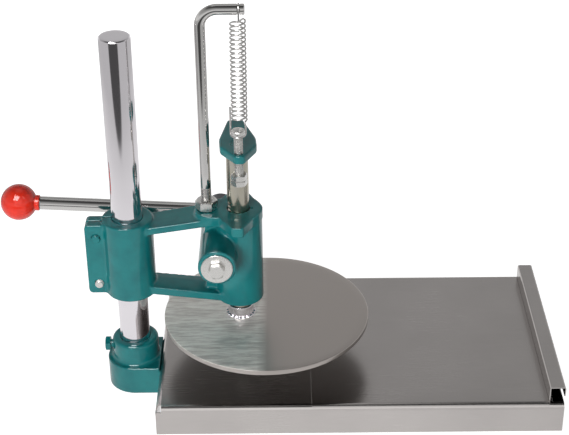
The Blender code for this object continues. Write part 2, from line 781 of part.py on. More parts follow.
def make_head():
    """The head casting: split sleeve, two arms, ram housing, pinion boss and top pad."""
    head = cylinder(
        "head_casting", SLEEVE_RADIUS, (0, 0, SLEEVE_BOTTOM_Z), (0, 0, SLEEVE_TOP_Z))
    lug = plate("head_lug", [rounded([
        (-LUG_REACH, LUG_BOTTOM_Z, LUG_CORNER),
        (-COLUMN_RADIUS, LUG_BOTTOM_Z, 0.0),
        (-COLUMN_RADIUS, LUG_TOP_Z, 0.0),
        (-LUG_REACH, LUG_TOP_Z, LUG_CORNER),
    ])], 2 * LUG_HALF, (0, 0, 0), upright=True)
    upper_arm = sloping_arm(
        "head_upper_arm", UPPER_ARM_TOP_Z, UPPER_ARM_RISE, UPPER_ARM_THICKNESS,
        UPPER_ARM_HALF_START, UPPER_ARM_HALF_END)
    lower_arm = sloping_arm(
        "head_lower_arm", LOWER_ARM_TOP_Z, -LOWER_ARM_FALL, LOWER_ARM_THICKNESS,
        LOWER_ARM_HALF_START, LOWER_ARM_HALF_END)
    housing = cylinder(
        "head_housing", HOUSING_RADIUS,
        (RAM_X, 0, HOUSING_BOTTOM_Z), (RAM_X, 0, HOUSING_TOP_Z - GAP))
    pad = plate(
        "head_pad", [pad_outline()], PAD_THICKNESS,
        (RAM_X, 0, HOUSING_TOP_Z - PAD_THICKNESS / 2))
    boss = cylinder(
        "head_boss", BOSS_RADIUS,
        (PINION_X, -BOSS_HALF, PINION_Z), (PINION_X, BOSS_HALF, PINION_Z))
    web_bottom = LOWER_ARM_TOP_Z - LOWER_ARM_THICKNESS - LOWER_ARM_FALL / 2
    web = box(
        "head_web", (WEB_START_X, -WEB_HALF, web_bottom),
        (RAM_X, WEB_HALF, PAD_BOTTOM_Z + OVERRUN))
    join(head, lug, upper_arm, lower_arm, housing, pad, boss, web)
    cut(head, *head_holes())
    return give(head, ENAMEL, HEAD_BODY)


def bore_tool(name, radius, chamfer, bottom_z, top_z, place):
    """A vertical bore with chamfered mouths at both faces."""
    mouth = radius + chamfer + OVERRUN
    return turned(name, [
        (0.0, top_z + OVERRUN),
        (mouth, top_z + OVERRUN),
        (radius, top_z - chamfer),
        (radius, bottom_z + chamfer),
        (mouth, bottom_z - OVERRUN),
        (0.0, bottom_z - OVERRUN),
    ], place)


def head_holes():
    """Every hole and slit of the head casting."""
    yield bore_tool(
        "head_column_bore", COLUMN_RADIUS + GAP, SLEEVE_CHAMFER,
        SLEEVE_BOTTOM_Z, SLEEVE_TOP_Z, (0, 0, 0))
    yield bore_tool(
        "head_ram_bore", RAM_RADIUS + GAP, HOUSING_CHAMFER,
        HOUSING_BOTTOM_Z, HOUSING_TOP_Z, (RAM_X, 0, 0))
    yield cylinder(
        "head_pinion_bore", JOURNAL_RADIUS + GAP,
        (PINION_X, -BOSS_HALF - OVERRUN, PINION_Z), (PINION_X, BOSS_HALF + OVERRUN, PINION_Z))
    yield box(
        "head_slit", (-LUG_REACH - OVERRUN, -LUG_SLIT / 2, SLEEVE_BOTTOM_Z - OVERRUN),
        (-COLUMN_RADIUS + OVERRUN, LUG_SLIT / 2, SLEEVE_TOP_Z + OVERRUN))
    for name, z in clamp_bolt_heights():
        yield cylinder(
            f"head_hole_{name}", BOLT_HOLE_RADIUS,
            (CLAMP_BOLT_X, -LUG_HALF - OVERRUN, z), (CLAMP_BOLT_X, LUG_HALF + OVERRUN, z),
            SMALL_SIDES)
    yield cylinder(
        "head_hanger_hole", HANGER_RADIUS + GAP,
        (HANGER_X, 0, HOUSING_TOP_Z - HANGER_FOOT_DEPTH - GAP),
        (HANGER_X, 0, HOUSING_TOP_Z + OVERRUN), SMALL_SIDES)


def clamp_bolt_heights():
    """Names and heights of the two bolts that close the split sleeve."""
    return (("upper", CLAMP_BOLT_UPPER_Z), ("lower", CLAMP_BOLT_LOWER_Z))


def make_clamp_bolts():
    """Hexagon bolts from the back of the lug, their ends just proud in front."""
    for name, z in clamp_bolt_heights():
        start = LUG_HALF + GAP
        bolt = hexagon(
            f"clamp_bolt_{name}", M10_FLATS, (CLAMP_BOLT_X, start, z),
            (CLAMP_BOLT_X, start + M10_HEAD, z), math.radians(30.0))
        shank = cylinder(
            f"clamp_bolt_{name}_shank", M10_RADIUS,
            (CLAMP_BOLT_X, -LUG_HALF - CLAMP_BOLT_PROUD, z),
            (CLAMP_BOLT_X, start + M10_HEAD / 2, z), SMALL_SIDES)
        join(bolt, shank)
        give(bolt, ZINC, HEAD_BODY)


def hanger_route():
    """The hanger rod's centre line: up, round a quarter bend and out over the ram."""
    yield (HANGER_X, 0.0, HOUSING_TOP_Z - HANGER_FOOT_DEPTH)
    centre_x = HANGER_X + HANGER_BEND
    centre_z = HANGER_TOP_Z - HANGER_BEND
    for step in range(HANGER_BEND_STEPS + 1):
        angle = math.pi - math.pi / 2 * step / HANGER_BEND_STEPS
        yield (centre_x + HANGER_BEND * math.cos(angle), 0.0,
               centre_z + HANGER_BEND * math.sin(angle))
    yield (HANGER_END_X, 0.0, HANGER_TOP_Z)


def make_hanger():
    """The bent rod that holds the spring, and its lock nut."""
    hanger = rod("hanger_rod", list(hanger_route()), HANGER_RADIUS, HANGER_RESOLUTION)
    floor = HANGER_RADIUS - GROOVE_DEPTH
    outside = HANGER_RADIUS + OVERRUN
    groove = turned("hanger_groove", [
        (floor, GROOVE_HALF),
        (outside, GROOVE_HALF),
        (outside, -GROOVE_HALF),
        (floor, -GROOVE_HALF),
    ], (HOOK_X, 0, HANGER_TOP_Z), X_AXIS, SMALL_SIDES, closed=True)
    cut(hanger, groove)
    give(hanger, CHROME, HEAD_BODY)
    nut = hex_nut(
        "hanger_nut", HANGER_NUT_FLATS, HANGER_RADIUS + GAP, (HANGER_X, 0, 0),
        HOUSING_TOP_Z + GAP, HANGER_NUT_HEIGHT, math.radians(30.0))
    give(nut, ZINC, HEAD_BODY)


def hex_nut(name, flats, hole_radius, place, bottom_z, height, turn=0.0):
    """A hexagon nut on a vertical thread."""
    x, y = place[0], place[1]
    nut = hexagon(name, flats, (x, y, bottom_z), (x, y, bottom_z + height), turn)
    cut(nut, cylinder(
        f"{name}_hole", hole_radius, (x, y, bottom_z - OVERRUN),
        (x, y, bottom_z + height + OVERRUN), SMALL_SIDES))
    return nut


# Ram, cap and plate

def rack_outline():
    """The cutter of the rack in the XZ plane: everything outside its straight teeth.

    A tooth stands level with the pinion's centre, where the pinion has a space.
    """
    pitch = math.pi * GEAR_MODULE
    tip_x = RAM_X - RACK_DISTANCE - GEAR_MODULE
    root_x = RAM_X - RACK_DISTANCE + GEAR_MODULE * (1 + TOOTH_CLEARANCE_SHARE)
    lean = math.tan(PRESSURE_ANGLE)
    half_at_pitch = pitch / 4 - TOOTH_THINNING / 2
    half_tip = half_at_pitch - GEAR_MODULE * lean
    half_root = half_at_pitch + GEAR_MODULE * (1 + TOOTH_CLEARANCE_SHARE) * lean
    first = math.ceil((RACK_BOTTOM_Z - PINION_Z) / pitch)
    last = math.floor((RACK_TOP_Z - PINION_Z) / pitch)
    outside_x = RAM_X - RAM_RADIUS - OVERRUN
    bottom = PINION_Z + (first - 1) * pitch + half_root
    top = PINION_Z + (last + 1) * pitch - half_root
    outline = [(outside_x, bottom), (root_x, bottom)]
    for index in range(first, last + 1):
        centre = PINION_Z + index * pitch
        outline.append((root_x, centre - half_root))
        outline.append((tip_x, centre - half_tip))
        outline.append((tip_x, centre + half_tip))
        outline.append((root_x, centre + half_root))
    outline.append((root_x, top))
    outline.append((outside_x, top))
    return outline


def make_ram():
    """The round ram with its rack, and a spigot below for the plate's collar."""
    collar_top = DISC_TOP_Z + GAP + COLLAR_HEIGHT
    ram = turned("ram", [
        (0.0, RAM_TOP_Z),
        (RAM_RADIUS, RAM_TOP_Z),
        (RAM_RADIUS, collar_top + GAP),
        (RAM_SPIGOT_RADIUS, collar_top + GAP),
        (RAM_SPIGOT_RADIUS, DISC_TOP_Z + GAP),
        (0.0, DISC_TOP_Z + GAP),
    ], RAM, sides=MEDIUM_SIDES)
    cut(ram, plate(
        "ram_rack_cut", [rack_outline()], 2 * (RAM_RADIUS + OVERRUN), (0, 0, 0), upright=True))
    cut(ram, cylinder(
        "ram_foot_tapping", DISC_SCREW_RADIUS + GAP,
        (RAM_X, 0, DISC_BOTTOM_Z), (RAM_X, 0, DISC_BOTTOM_Z + DISC_SCREW_LENGTH + GAP),
        SMALL_SIDES))
    cut(ram, cylinder(
        "ram_head_tapping", CAP_SCREW_RADIUS + GAP,
        (RAM_X, 0, CAP_TOP_Z - CAP_SCREW_LENGTH - GAP), (RAM_X, 0, CAP_TOP_Z), SMALL_SIDES))
    give(ram, GROUND_STEEL, RAM_BODY)


def cap_outline():
    """The plan of the cap about its own centre: a rounded nose and a long tail."""
    right = [
        (CAP_NOSE_HALF, -CAP_NOSE_Y, CAP_NOSE_ROUND),
        (CAP_HALF, -CAP_SHOULDER_FRONT_Y, CAP_SHOULDER_FRONT_ROUND),
        (CAP_HALF, CAP_SHOULDER_BACK_Y, CAP_SHOULDER_BACK_ROUND),
        (CAP_TAIL_HALF, CAP_TAIL_Y, CAP_TAIL_ROUND),
    ]
    left = [(-x, y, radius) for x, y, radius in reversed(right)]
    return rounded(right + left)


def make_cap():
    """The drop-shaped cap on the ram, and the screw that fixes it."""
    cap = plate(
        "ram_cap", [cap_outline()], CAP_THICKNESS,
        (RAM_X + CAP_SHIFT, 0, CAP_TOP_Z - CAP_THICKNESS / 2))
    cap.rotation_euler = (0.0, 0.0, CAP_TURN)
    bevel(cap, CAP_EDGE_ROUND)
    pocket = cylinder(
        "cap_pocket", RAM_RADIUS + GAP,
        (RAM_X, 0, CAP_BOTTOM_Z - OVERRUN), (RAM_X, 0, RAM_TOP_Z + GAP), MEDIUM_SIDES)
    sink = countersink(
        "cap_screw_hole", RAM, CAP_TOP_Z, CAP_SCREW_HEAD_RADIUS, CAP_SCREW_RADIUS,
        CAP_THICKNESS)
    stop_hole = cylinder(
        "cap_stop_hole", BOLT_HOLE_RADIUS,
        (STOP_SCREW.x, STOP_SCREW.y, CAP_BOTTOM_Z - OVERRUN),
        (STOP_SCREW.x, STOP_SCREW.y, CAP_TOP_Z + OVERRUN), SMALL_SIDES)
    cut(cap, pocket, sink, stop_hole)
    give(cap, ENAMEL, RAM_BODY)
    screw = countersunk(
        "cap_screw", RAM, CAP_TOP_Z, CAP_SCREW_HEAD_RADIUS, CAP_SCREW_RADIUS,
        CAP_SCREW_LENGTH)
    give(screw, ENAMEL, RAM_BODY)


def make_stop():
    """The long screw beside the ram whose end stops the stroke, and its two nuts."""
    head_top = STOP_HEAD_Z + STOP_HEAD_HEIGHT
    screw = turned("stop_screw", [
        (0.0, head_top),
        (STOP_HEAD_RADIUS - STOP_HEAD_ROUND, head_top),
        (STOP_HEAD_RADIUS - STOP_HEAD_ROUND * ROUND_SHARE, head_top - STOP_HEAD_ROUND * ROUND_SHARE),
        (STOP_HEAD_RADIUS, head_top - STOP_HEAD_ROUND),
        (STOP_HEAD_RADIUS, STOP_HEAD_Z),
        (M10_RADIUS, STOP_HEAD_Z),
        (M10_RADIUS, STOP_END_Z),
        (0.0, STOP_END_Z),
    ], STOP_SCREW, sides=SMALL_SIDES)
    give(screw, ZINC, RAM_BODY)
    low = STOP_END_Z + STOP_NUT_LIFT
    for name, bottom in (("lower", low), ("upper", low + M10_NUT + GAP)):
        nut = hex_nut(
            f"stop_nut_{name}", M10_FLATS, BOLT_HOLE_RADIUS, STOP_SCREW, bottom, M10_NUT,
            STOP_NUT_TURN)
        give(nut, ZINC, RAM_BODY)


def make_plate():
    """The eccentric pressing plate, its collar and the screw that holds it on the ram."""
    edge = DISC_EDGE_ROUND
    disc = turned("press_disc", [
        (0.0, DISC_TOP_Z),
        (DISC_RADIUS - edge, DISC_TOP_Z),
        (DISC_RADIUS, DISC_TOP_Z - edge),
        (DISC_RADIUS, DISC_BOTTOM_Z + edge),
        (DISC_RADIUS - edge, DISC_BOTTOM_Z),
        (0.0, DISC_BOTTOM_Z),
    ], (DISC_CENTRE_X, 0, 0), sides=DISC_SIDES)
    cut(disc, countersink(
        "disc_screw_hole", RAM, DISC_BOTTOM_Z, DISC_SCREW_HEAD_RADIUS, DISC_SCREW_RADIUS,
        DISC_THICKNESS + OVERRUN, facing=-1.0))
    give(disc, BRUSHED, RAM_BODY)
    collar_bottom = DISC_TOP_Z + GAP
    collar = turned("disc_collar", [
        (RAM_SPIGOT_RADIUS + GAP, collar_bottom + COLLAR_HEIGHT),
        (COLLAR_RADIUS, collar_bottom + COLLAR_HEIGHT),
        (COLLAR_RADIUS, collar_bottom),
        (RAM_SPIGOT_RADIUS + GAP, collar_bottom),
    ], RAM, sides=MEDIUM_SIDES, closed=True)
    give(collar, CHROME, RAM_BODY)
    screw = countersunk(
        "disc_screw", RAM, DISC_BOTTOM_Z, DISC_SCREW_HEAD_RADIUS, DISC_SCREW_RADIUS,
        DISC_SCREW_LENGTH, facing=-1.0)
    give(screw, ZINC, RAM_BODY)


# Return spring

def spring_axis(z):
    """The point of the spring's leaning centre line at a height."""
    share = (COIL_TOP_Z - z) / (COIL_TOP_Z - COIL_BOTTOM_Z)
    top = Vector((HOOK_X - COIL_TOP_SHIFT, 0.0, COIL_TOP_Z))
    foot = Vector((
        STOP_SCREW.x + COIL_FOOT_SHIFT, STOP_SCREW.y + COIL_FOOT_BACK, COIL_BOTTOM_Z))
    return top.lerp(foot, share)


def coil_point(turns):
    """A point of the helix, which starts on the right and runs clockwise downwards."""
    angle = -math.tau * turns
    z = COIL_TOP_Z + (COIL_BOTTOM_Z - COIL_TOP_Z) * turns / COIL_COUNT
    spread = Vector((math.cos(angle), math.sin(angle), 0.0)) * COIL_RADIUS
    return spring_axis(z) + spread


def eased(corners):
    """Bend a wire smoothly along its corners by cutting each corner off twice."""
    points = corners
    for _ in range(2):
        cut_points = [points[0]]
        for first, second in zip(points, points[1:]):
            cut_points.append(first.lerp(second, 0.25))
            cut_points.append(first.lerp(second, 0.75))
        cut_points.append(points[-1])
        points = cut_points
    return points


def upper_hook():
    """From the free end behind the hanger, over its groove and back into the coils."""
    floor = HANGER_RADIUS - GROOVE_DEPTH + WIRE_RADIUS + GAP
    eye = Vector((HOOK_X, 0.0, HANGER_TOP_Z))
    points = [eye + Vector((0.0, floor, -HOOK_TAIL))]
    for step in range(HOOK_STEPS + 1):
        angle = math.pi * step / HOOK_STEPS
        points.append(eye + Vector((0.0, math.cos(angle), math.sin(angle))) * floor)
    start = coil_point(0.0)
    high = Vector((HOOK_X, -floor, COIL_TOP_Z + HOOK_RISE))
    low = high - Z_AXIS * HOOK_DROP
    bends = [
        spring_axis(COIL_TOP_Z) + Vector((right, back, 0.0)) * COIL_RADIUS + Z_AXIS * HOOK_RISE * up
        for right, back, up in HOOK_BEND_SHARES]
    return points + eased([high, low, *bends, start])


def lower_hook():
    """From the last coil down beside the stop screw, under its head and up again."""
    eye = Vector((STOP_SCREW.x, STOP_SCREW.y + LOOP_BACK, 0.0))
    under = STOP_HEAD_Z - WIRE_RADIUS - GAP
    reach = LOOP_BACK + LOOP_FRONT
    end = coil_point(COIL_COUNT + COIL_LAST_SHARE)
    right = eye + X_AXIS * LOOP_HALF
    left = eye - X_AXIS * LOOP_HALF
    loop = []
    for step in range(1, LOOP_STEPS):
        angle = math.pi * step / LOOP_STEPS
        side = Vector((math.cos(angle) * LOOP_HALF, -math.sin(angle) * reach, under))
        loop.append(eye + side)
    before = coil_point(COIL_COUNT)
    elbow = Vector((right.x, right.y, under + LOOP_ELBOW))
    down = eased([before, end, elbow, right + Z_AXIS * under, loop[0]])
    up = eased([loop[-1], left + Z_AXIS * under, left + Z_AXIS * LOOP_TAIL_Z])
    return down[1:-1] + loop + up[1:]


def least_self_gap(points):
    """The smallest clear distance between stretches of the wire that aren't neighbours."""
    travelled = [0.0]
    for first, second in zip(points, points[1:]):
        travelled.append(travelled[-1] + (second - first).length)
    least = math.inf
    for index, point in enumerate(points):
        for later in range(index + 1, len(points)):
            if travelled[later] - travelled[index] > SPRING_NEAR:
                least = min(least, (point - points[later]).length)
    return least - 2 * WIRE_RADIUS


def make_spring():
    """The return spring: hook, open coils and loop in one unbroken wire."""
    coils = [coil_point(step / COIL_POINTS) for step in range(COIL_COUNT * COIL_POINTS + 1)]
    points = upper_hook() + coils + lower_hook()
    gap = least_self_gap(points)
    print(f"return_spring least gap to itself {gap / MM:.2f} mm")
    if gap < SPRING_LEAST_GAP:
        raise ValueError("the spring's wire comes too close to itself")
    spring = rod("return_spring", points, WIRE_RADIUS, 1)
    give(spring, ZINC, HEAD_BODY)


# Pinion, hub, lever and knob

def pinion_tooth_angle(radius):
    """Half of a tooth's angle at a radius of the involute, thinned for backlash."""
    base = PINION_RADIUS * math.cos(PRESSURE_ANGLE)
    at_pitch = math.pi / (2 * PINION_TEETH) - TOOTH_THINNING / 2 / PINION_RADIUS
    involute = math.tan(PRESSURE_ANGLE) - PRESSURE_ANGLE
    if radius <= base:
        return at_pitch + involute
    slope = math.acos(base / radius)
    return at_pitch + involute - (math.tan(slope) - slope)


def pinion_outline():
    """The pinion's teeth in the XZ plane about its axis, with a space facing the rack."""
    root = PINION_RADIUS - GEAR_MODULE * (1 + TOOTH_CLEARANCE_SHARE)
    base = PINION_RADIUS * math.cos(PRESSURE_ANGLE)
    tip = JOURNAL_RADIUS - TIP_TURNING
    radii = [root]
    for step in range(FLANK_STEPS + 1):
        radii.append(base + (tip - base) * step / FLANK_STEPS)
    outline = []
    for tooth in range(PINION_TEETH):
        centre = math.tau * (tooth + 0.5) / PINION_TEETH
        rising = [(radius, centre - pinion_tooth_angle(radius)) for radius in radii]
        falling = [(radius, centre + pinion_tooth_angle(radius)) for radius in reversed(radii)]
        for radius, angle in rising + falling:
            outline.append((radius * math.cos(angle), radius * math.sin(angle)))
    return outline


def ring_outline(radius, sides=ROUND_SIDES):
    """A circle as a closed outline."""
    return [(radius * math.cos(math.tau * step / sides), radius * math.sin(math.tau * step / sides))
            for step in range(sides)]


def make_pinion():
    """The pinion shaft: journals, teeth cut between them and a neck for the hub."""
    front = -BOSS_HALF + GAP
    neck_end = HUB_FRONT_Y + HUB_LENGTH - GAP
    shaft = turned("pinion_shaft", [
        (0.0, neck_end),
        (SHAFT_NECK_RADIUS, neck_end),
        (SHAFT_NECK_RADIUS, BOSS_HALF),
        (JOURNAL_RADIUS, BOSS_HALF),
        (JOURNAL_RADIUS, front),
        (0.0, front),
    ], PINION, Y_AXIS, sides=MEDIUM_SIDES)
    cut(shaft, plate(
        "pinion_teeth_cut", [ring_outline(JOURNAL_RADIUS + OVERRUN), pinion_outline()],
        PINION_FACE, PINION, upright=True))
    bolt_start = -BOSS_HALF - 2 * GAP - WASHER_THICKNESS
    cut(shaft, cylinder(
        "pinion_tapping", BOLT_HOLE_RADIUS,
        (PINION_X, bolt_start, PINION_Z),
        (PINION_X, bolt_start + PINION_BOLT_LENGTH + GAP, PINION_Z), SMALL_SIDES))
    give(shaft, GROUND_STEEL, LEVER_BODY)
    washer = turned("pinion_washer", [
        (BOLT_HOLE_RADIUS, WASHER_THICKNESS),
        (WASHER_RADIUS, WASHER_THICKNESS),
        (WASHER_RADIUS, 0.0),
        (BOLT_HOLE_RADIUS, 0.0),
    ], (PINION_X, bolt_start + GAP, PINION_Z), Y_AXIS, closed=True)
    give(washer, ZINC, LEVER_BODY)
    bolt = hexagon(
        "pinion_bolt", M10_FLATS, (PINION_X, bolt_start - M10_HEAD, PINION_Z),
        (PINION_X, bolt_start, PINION_Z), math.radians(20.0))
    shank = cylinder(
        "pinion_bolt_shank", M10_RADIUS, (PINION_X, bolt_start - M10_HEAD / 2, PINION_Z),
        (PINION_X, bolt_start + PINION_BOLT_LENGTH, PINION_Z), SMALL_SIDES)
    join(bolt, shank)
    give(bolt, ZINC, LEVER_BODY)


def along_lever(distance):
    """The point of the lever's centre line at a distance from the pinion's axis."""
    return LEVER_ROOT + LEVER_DIRECTION * distance


def make_lever():
    """The hub on the pinion shaft, the rod screwed through it, and the ball knob."""
    bore_radius = SHAFT_NECK_RADIUS + GAP
    hub = turned("lever_hub", [
        (bore_radius, HUB_LENGTH),
        (HUB_RADIUS, HUB_LENGTH),
        (HUB_RADIUS, 0.0),
        (bore_radius, 0.0),
    ], (PINION_X, HUB_FRONT_Y, PINION_Z), Y_AXIS, closed=True)
    seat = HUB_RADIUS - HUB_FLAT_DEPTH
    cut(hub, cylinder(
        "hub_spot_face", LEVER_RADIUS + GAP, along_lever(seat), along_lever(seat + OVERRUN),
        SMALL_SIDES))
    cut(hub, cylinder(
        "hub_lever_tapping", LEVER_SPIGOT_RADIUS + GAP, along_lever(0.0),
        along_lever(HUB_RADIUS + OVERRUN), SMALL_SIDES))
    cut(hub, cylinder(
        "hub_grub_tapping", HUB_GRUB_RADIUS + GAP, along_lever(0.0),
        along_lever(-HUB_RADIUS - OVERRUN), SMALL_SIDES))
    give(hub, CHROME, LEVER_BODY)
    grub = cylinder(
        "hub_set_screw", HUB_GRUB_RADIUS, along_lever(-bore_radius), along_lever(-seat),
        SMALL_SIDES)
    give(grub, ZINC, LEVER_BODY)
    shoulder = LEVER_REACH - KNOB_RADIUS - KNOB_COLLAR_LENGTH
    tip = LEVER_REACH - KNOB_RADIUS * KNOB_BORE_SHARE
    start = seat + GAP
    lever = turned("lever_rod", [
        (0.0, tip),
        (LEVER_SPIGOT_RADIUS, tip),
        (LEVER_SPIGOT_RADIUS, shoulder),
        (LEVER_RADIUS, shoulder),
        (LEVER_RADIUS, start),
        (LEVER_SPIGOT_RADIUS, start),
        (LEVER_SPIGOT_RADIUS, bore_radius),
        (0.0, bore_radius),
    ], LEVER_ROOT, LEVER_DIRECTION, sides=MEDIUM_SIDES)
    give(lever, CHROME, LEVER_BODY)
    bore = LEVER_SPIGOT_RADIUS + GAP
    knob = turned("lever_knob", knob_profile(), LEVER_ROOT, LEVER_DIRECTION, sides=MEDIUM_SIDES)
    cut(knob, cylinder(
        "knob_bore", bore, along_lever(shoulder - OVERRUN), along_lever(tip + GAP),
        SMALL_SIDES))
    give(knob, RED, LEVER_BODY)


def knob_profile():
    """The knob's half section from its crown to the face of its small collar."""
    neck_angle = math.asin(KNOB_COLLAR_RADIUS / KNOB_RADIUS)
    points = []
    for step in range(KNOB_ARC_STEPS + 1):
        angle = (math.pi - neck_angle) * step / KNOB_ARC_STEPS
        points.append((KNOB_RADIUS * math.sin(angle), LEVER_REACH + KNOB_RADIUS * math.cos(angle)))
    face = LEVER_REACH - KNOB_RADIUS - KNOB_COLLAR_LENGTH + GAP
    points.append((KNOB_COLLAR_RADIUS, face))
    points.append((0.0, face))
    points[0] = (0.0, LEVER_REACH + KNOB_RADIUS)
    return points


make_base()
make_tray()
make_tray_screws()
make_column()
make_head()
make_clamp_bolts()
make_hanger()
make_ram()
make_cap()
make_stop()
make_plate()
make_spring()
make_pinion()
make_lever()
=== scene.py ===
"""A lever dough press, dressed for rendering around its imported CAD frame.

Lengths are metres in the CAD frame: the column's axis is Z, +X runs along the tray towards its
far end, +Y points away from the user and the press stands on Z = 0.
"""

import json
import math

import bpy
import numpy as np
from mathutils import Matrix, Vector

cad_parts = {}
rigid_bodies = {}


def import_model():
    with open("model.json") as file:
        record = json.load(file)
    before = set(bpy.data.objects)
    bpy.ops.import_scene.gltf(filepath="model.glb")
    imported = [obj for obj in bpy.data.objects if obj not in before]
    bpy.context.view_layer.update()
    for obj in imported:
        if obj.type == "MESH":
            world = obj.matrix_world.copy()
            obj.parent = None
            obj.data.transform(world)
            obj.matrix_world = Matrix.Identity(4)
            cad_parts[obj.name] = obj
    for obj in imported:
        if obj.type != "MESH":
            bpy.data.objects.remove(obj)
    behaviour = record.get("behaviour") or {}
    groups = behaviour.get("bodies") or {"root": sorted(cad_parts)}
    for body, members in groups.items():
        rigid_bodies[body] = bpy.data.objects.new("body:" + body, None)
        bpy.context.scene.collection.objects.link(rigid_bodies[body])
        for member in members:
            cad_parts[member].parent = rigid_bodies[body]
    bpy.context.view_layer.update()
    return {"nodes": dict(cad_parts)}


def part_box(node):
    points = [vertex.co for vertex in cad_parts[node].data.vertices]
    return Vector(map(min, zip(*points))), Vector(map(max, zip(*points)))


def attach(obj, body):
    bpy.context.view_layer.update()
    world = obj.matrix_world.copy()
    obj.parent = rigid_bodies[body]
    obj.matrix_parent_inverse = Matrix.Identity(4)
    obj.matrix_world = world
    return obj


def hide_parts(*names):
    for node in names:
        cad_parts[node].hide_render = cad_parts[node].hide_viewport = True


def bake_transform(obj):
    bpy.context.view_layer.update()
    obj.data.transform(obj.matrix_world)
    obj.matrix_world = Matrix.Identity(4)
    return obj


bl_info = {
    "name": "Lever dough press",
    "version": (1, 0, 0),
    "blender": (4, 5, 0),
    "location": "3D View > Sidebar > Dough press",
    "description": "Builds the visible surfaces and finishes of a lever dough press",
    "category": "Object",
}

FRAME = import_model()
X_AXIS, Y_AXIS, Z_AXIS = np.eye(3)
CLEARANCE = 0.0003  # Between parts that fit into each other
HAIRLINE = 0.0001  # Between faces that would share a place
BOLT_HOLE = 0.0052  # Radius of a hole that an M10 screw passes
THREAD_LEAD = 0.0011  # Length over which a thread runs out
FADE = 0.0002  # Width of a mask's edge


# Settings

def size(name, millimetres, description):
    """A length given in millimetres and kept in metres."""
    return bpy.props.FloatProperty(
        name=name, description=description, default=millimetres / 1000, precision=5,
        subtype="DISTANCE", unit="LENGTH")


def turn(name, degrees, description):
    """An angle given in degrees and kept in radians."""
    return bpy.props.FloatProperty(
        name=name, description=description, default=math.radians(degrees),
        subtype="ANGLE", unit="ROTATION")


def share(name, value, description):
    """A plain number."""
    return bpy.props.FloatProperty(name=name, description=description, default=value)


def colour(name, values, description):
    """A linear colour."""
    return bpy.props.FloatVectorProperty(
        name=name, description=description, default=values, size=3, min=0, max=1,
        subtype="COLOR")


class CastingSizes(bpy.types.PropertyGroup):
    """How finely castings are worked out, and their foundry radii."""
    base_cell: size("Base cell", 1.2, "Cell of the grid that the base is worked out on")
    head_cell: size("Head cell", 1.15, "Cell of the grid that the head is worked out on")
    cap_cell: size("Cap cell", 0.6, "Cell of the grid that the cap is worked out on")
    hub_cell: size("Hub cell", 0.5, "Cell of the grid that the lever's hub is worked out on")
    edge: size("Cast edge", 1.3, "Radius of an edge as cast")
    fine_edge: size("Machined edge", 0.5, "Radius of a machined edge under its paint")
    fillet: size("Fillet", 3.4, "Reach of the fillet where two walls meet")
    small_fillet: size("Small fillet", 3.0, "Reach of the fillet beside the clamp lug")


class BaseSizes(bpy.types.PropertyGroup):
    """The base casting."""
    foot_radius: size("Foot radius", 33.8, "Radius of the round foot and half the arm's width")
    length: size("Arm end", 205.0, "Where the arm under the tray ends along X")
    top: size("Foot height", 35.8, "Height of the foot and the arm")
    corner: size("Arm corner", 3.0, "Corner radius of the arm's far end")
    socket_radius: size("Socket radius", 27.1, "Outside radius of the column's socket")
    socket_top: size("Socket top", 62.3, "Height of the socket")
    socket_round: size("Socket round", 4.0, "Radius of the socket's upper rim")
    mouth: size("Socket chamfer", 0.5, "Chamfer at the bore's mouth")
    shoulder: size("Shoulder", 5.0, "Reach of the fillet round the socket's foot")
    seat: size("Column seat", 4.7, "Floor of the column's bore")
    wall: size("Arm wall", 8.0, "Wall beside the arm's hollows")
    roof: size("Arm roof", 9.0, "Wall above the arm's hollows")
    hollow_start: size("Hollow start", 42.0, "Where the first hollow starts along X")
    rib_half: size("Rib half", 7.0, "Half the rib between the hollows")
    screw_height: size("Set screw height", 50.2, "Height of the column's set screw")
    standoff: size("Set screw standoff", 2.5, "From the socket to the set screw's head")


class TraySizes(bpy.types.PropertyGroup):
    """The folded tray and its screws."""
    left: size("Left", 29.9, "Near end along X")
    length: size("Length", 465.1, "Length along X")
    front: size("Front", -111.5, "Front along Y")
    depth: size("Depth", 275.3, "Depth along Y")
    top: size("Top", 37.4, "Height of the tray's top")
    sheet: size("Sheet", 1.3, "Thickness of the sheet")
    bend: size("Bend", 6.5, "Outside radius of the folded edges")
    relief: size("Relief", 6.7, "Side of the square cut at the two near corners")
    rail_width: size("Rail width", 18.2, "Width of the rail along X")
    rail_height: size("Rail height", 18.8, "Height of the rail above the tray")
    rail_overhang: size("Rail overhang", 1.4, "How far the rail stands past the tray's end")
    liner_left: size("Liner", 208.0, "Where the thin sheet that lies on the tray starts")
    liner: size("Liner thickness", 0.5, "Thickness of that sheet")
    liner_lip: size("Liner lip", 4.0, "How far its front lip is turned down")
    liner_corner: size("Liner corner", 3.0, "Corner radius of that lip")
    screw_middle: size("Screw middle", 150.0, "Middle of the four screws along X")
    screw_span_x: size("Screw span X", 84.0, "Distance between the screws along X")
    screw_span_y: size("Screw span Y", 34.0, "Distance between the screws along Y")


class ColumnSizes(bpy.types.PropertyGroup):
    """The column."""
    radius: size("Radius", 17.5, "Radius of the column")
    top: size("Top", 446.0, "Height of its top")
    seat: size("Seat", 5.0, "Height of its foot in the base")
    chamfer: size("Chamfer", 1.5, "Chamfer of its top edge")


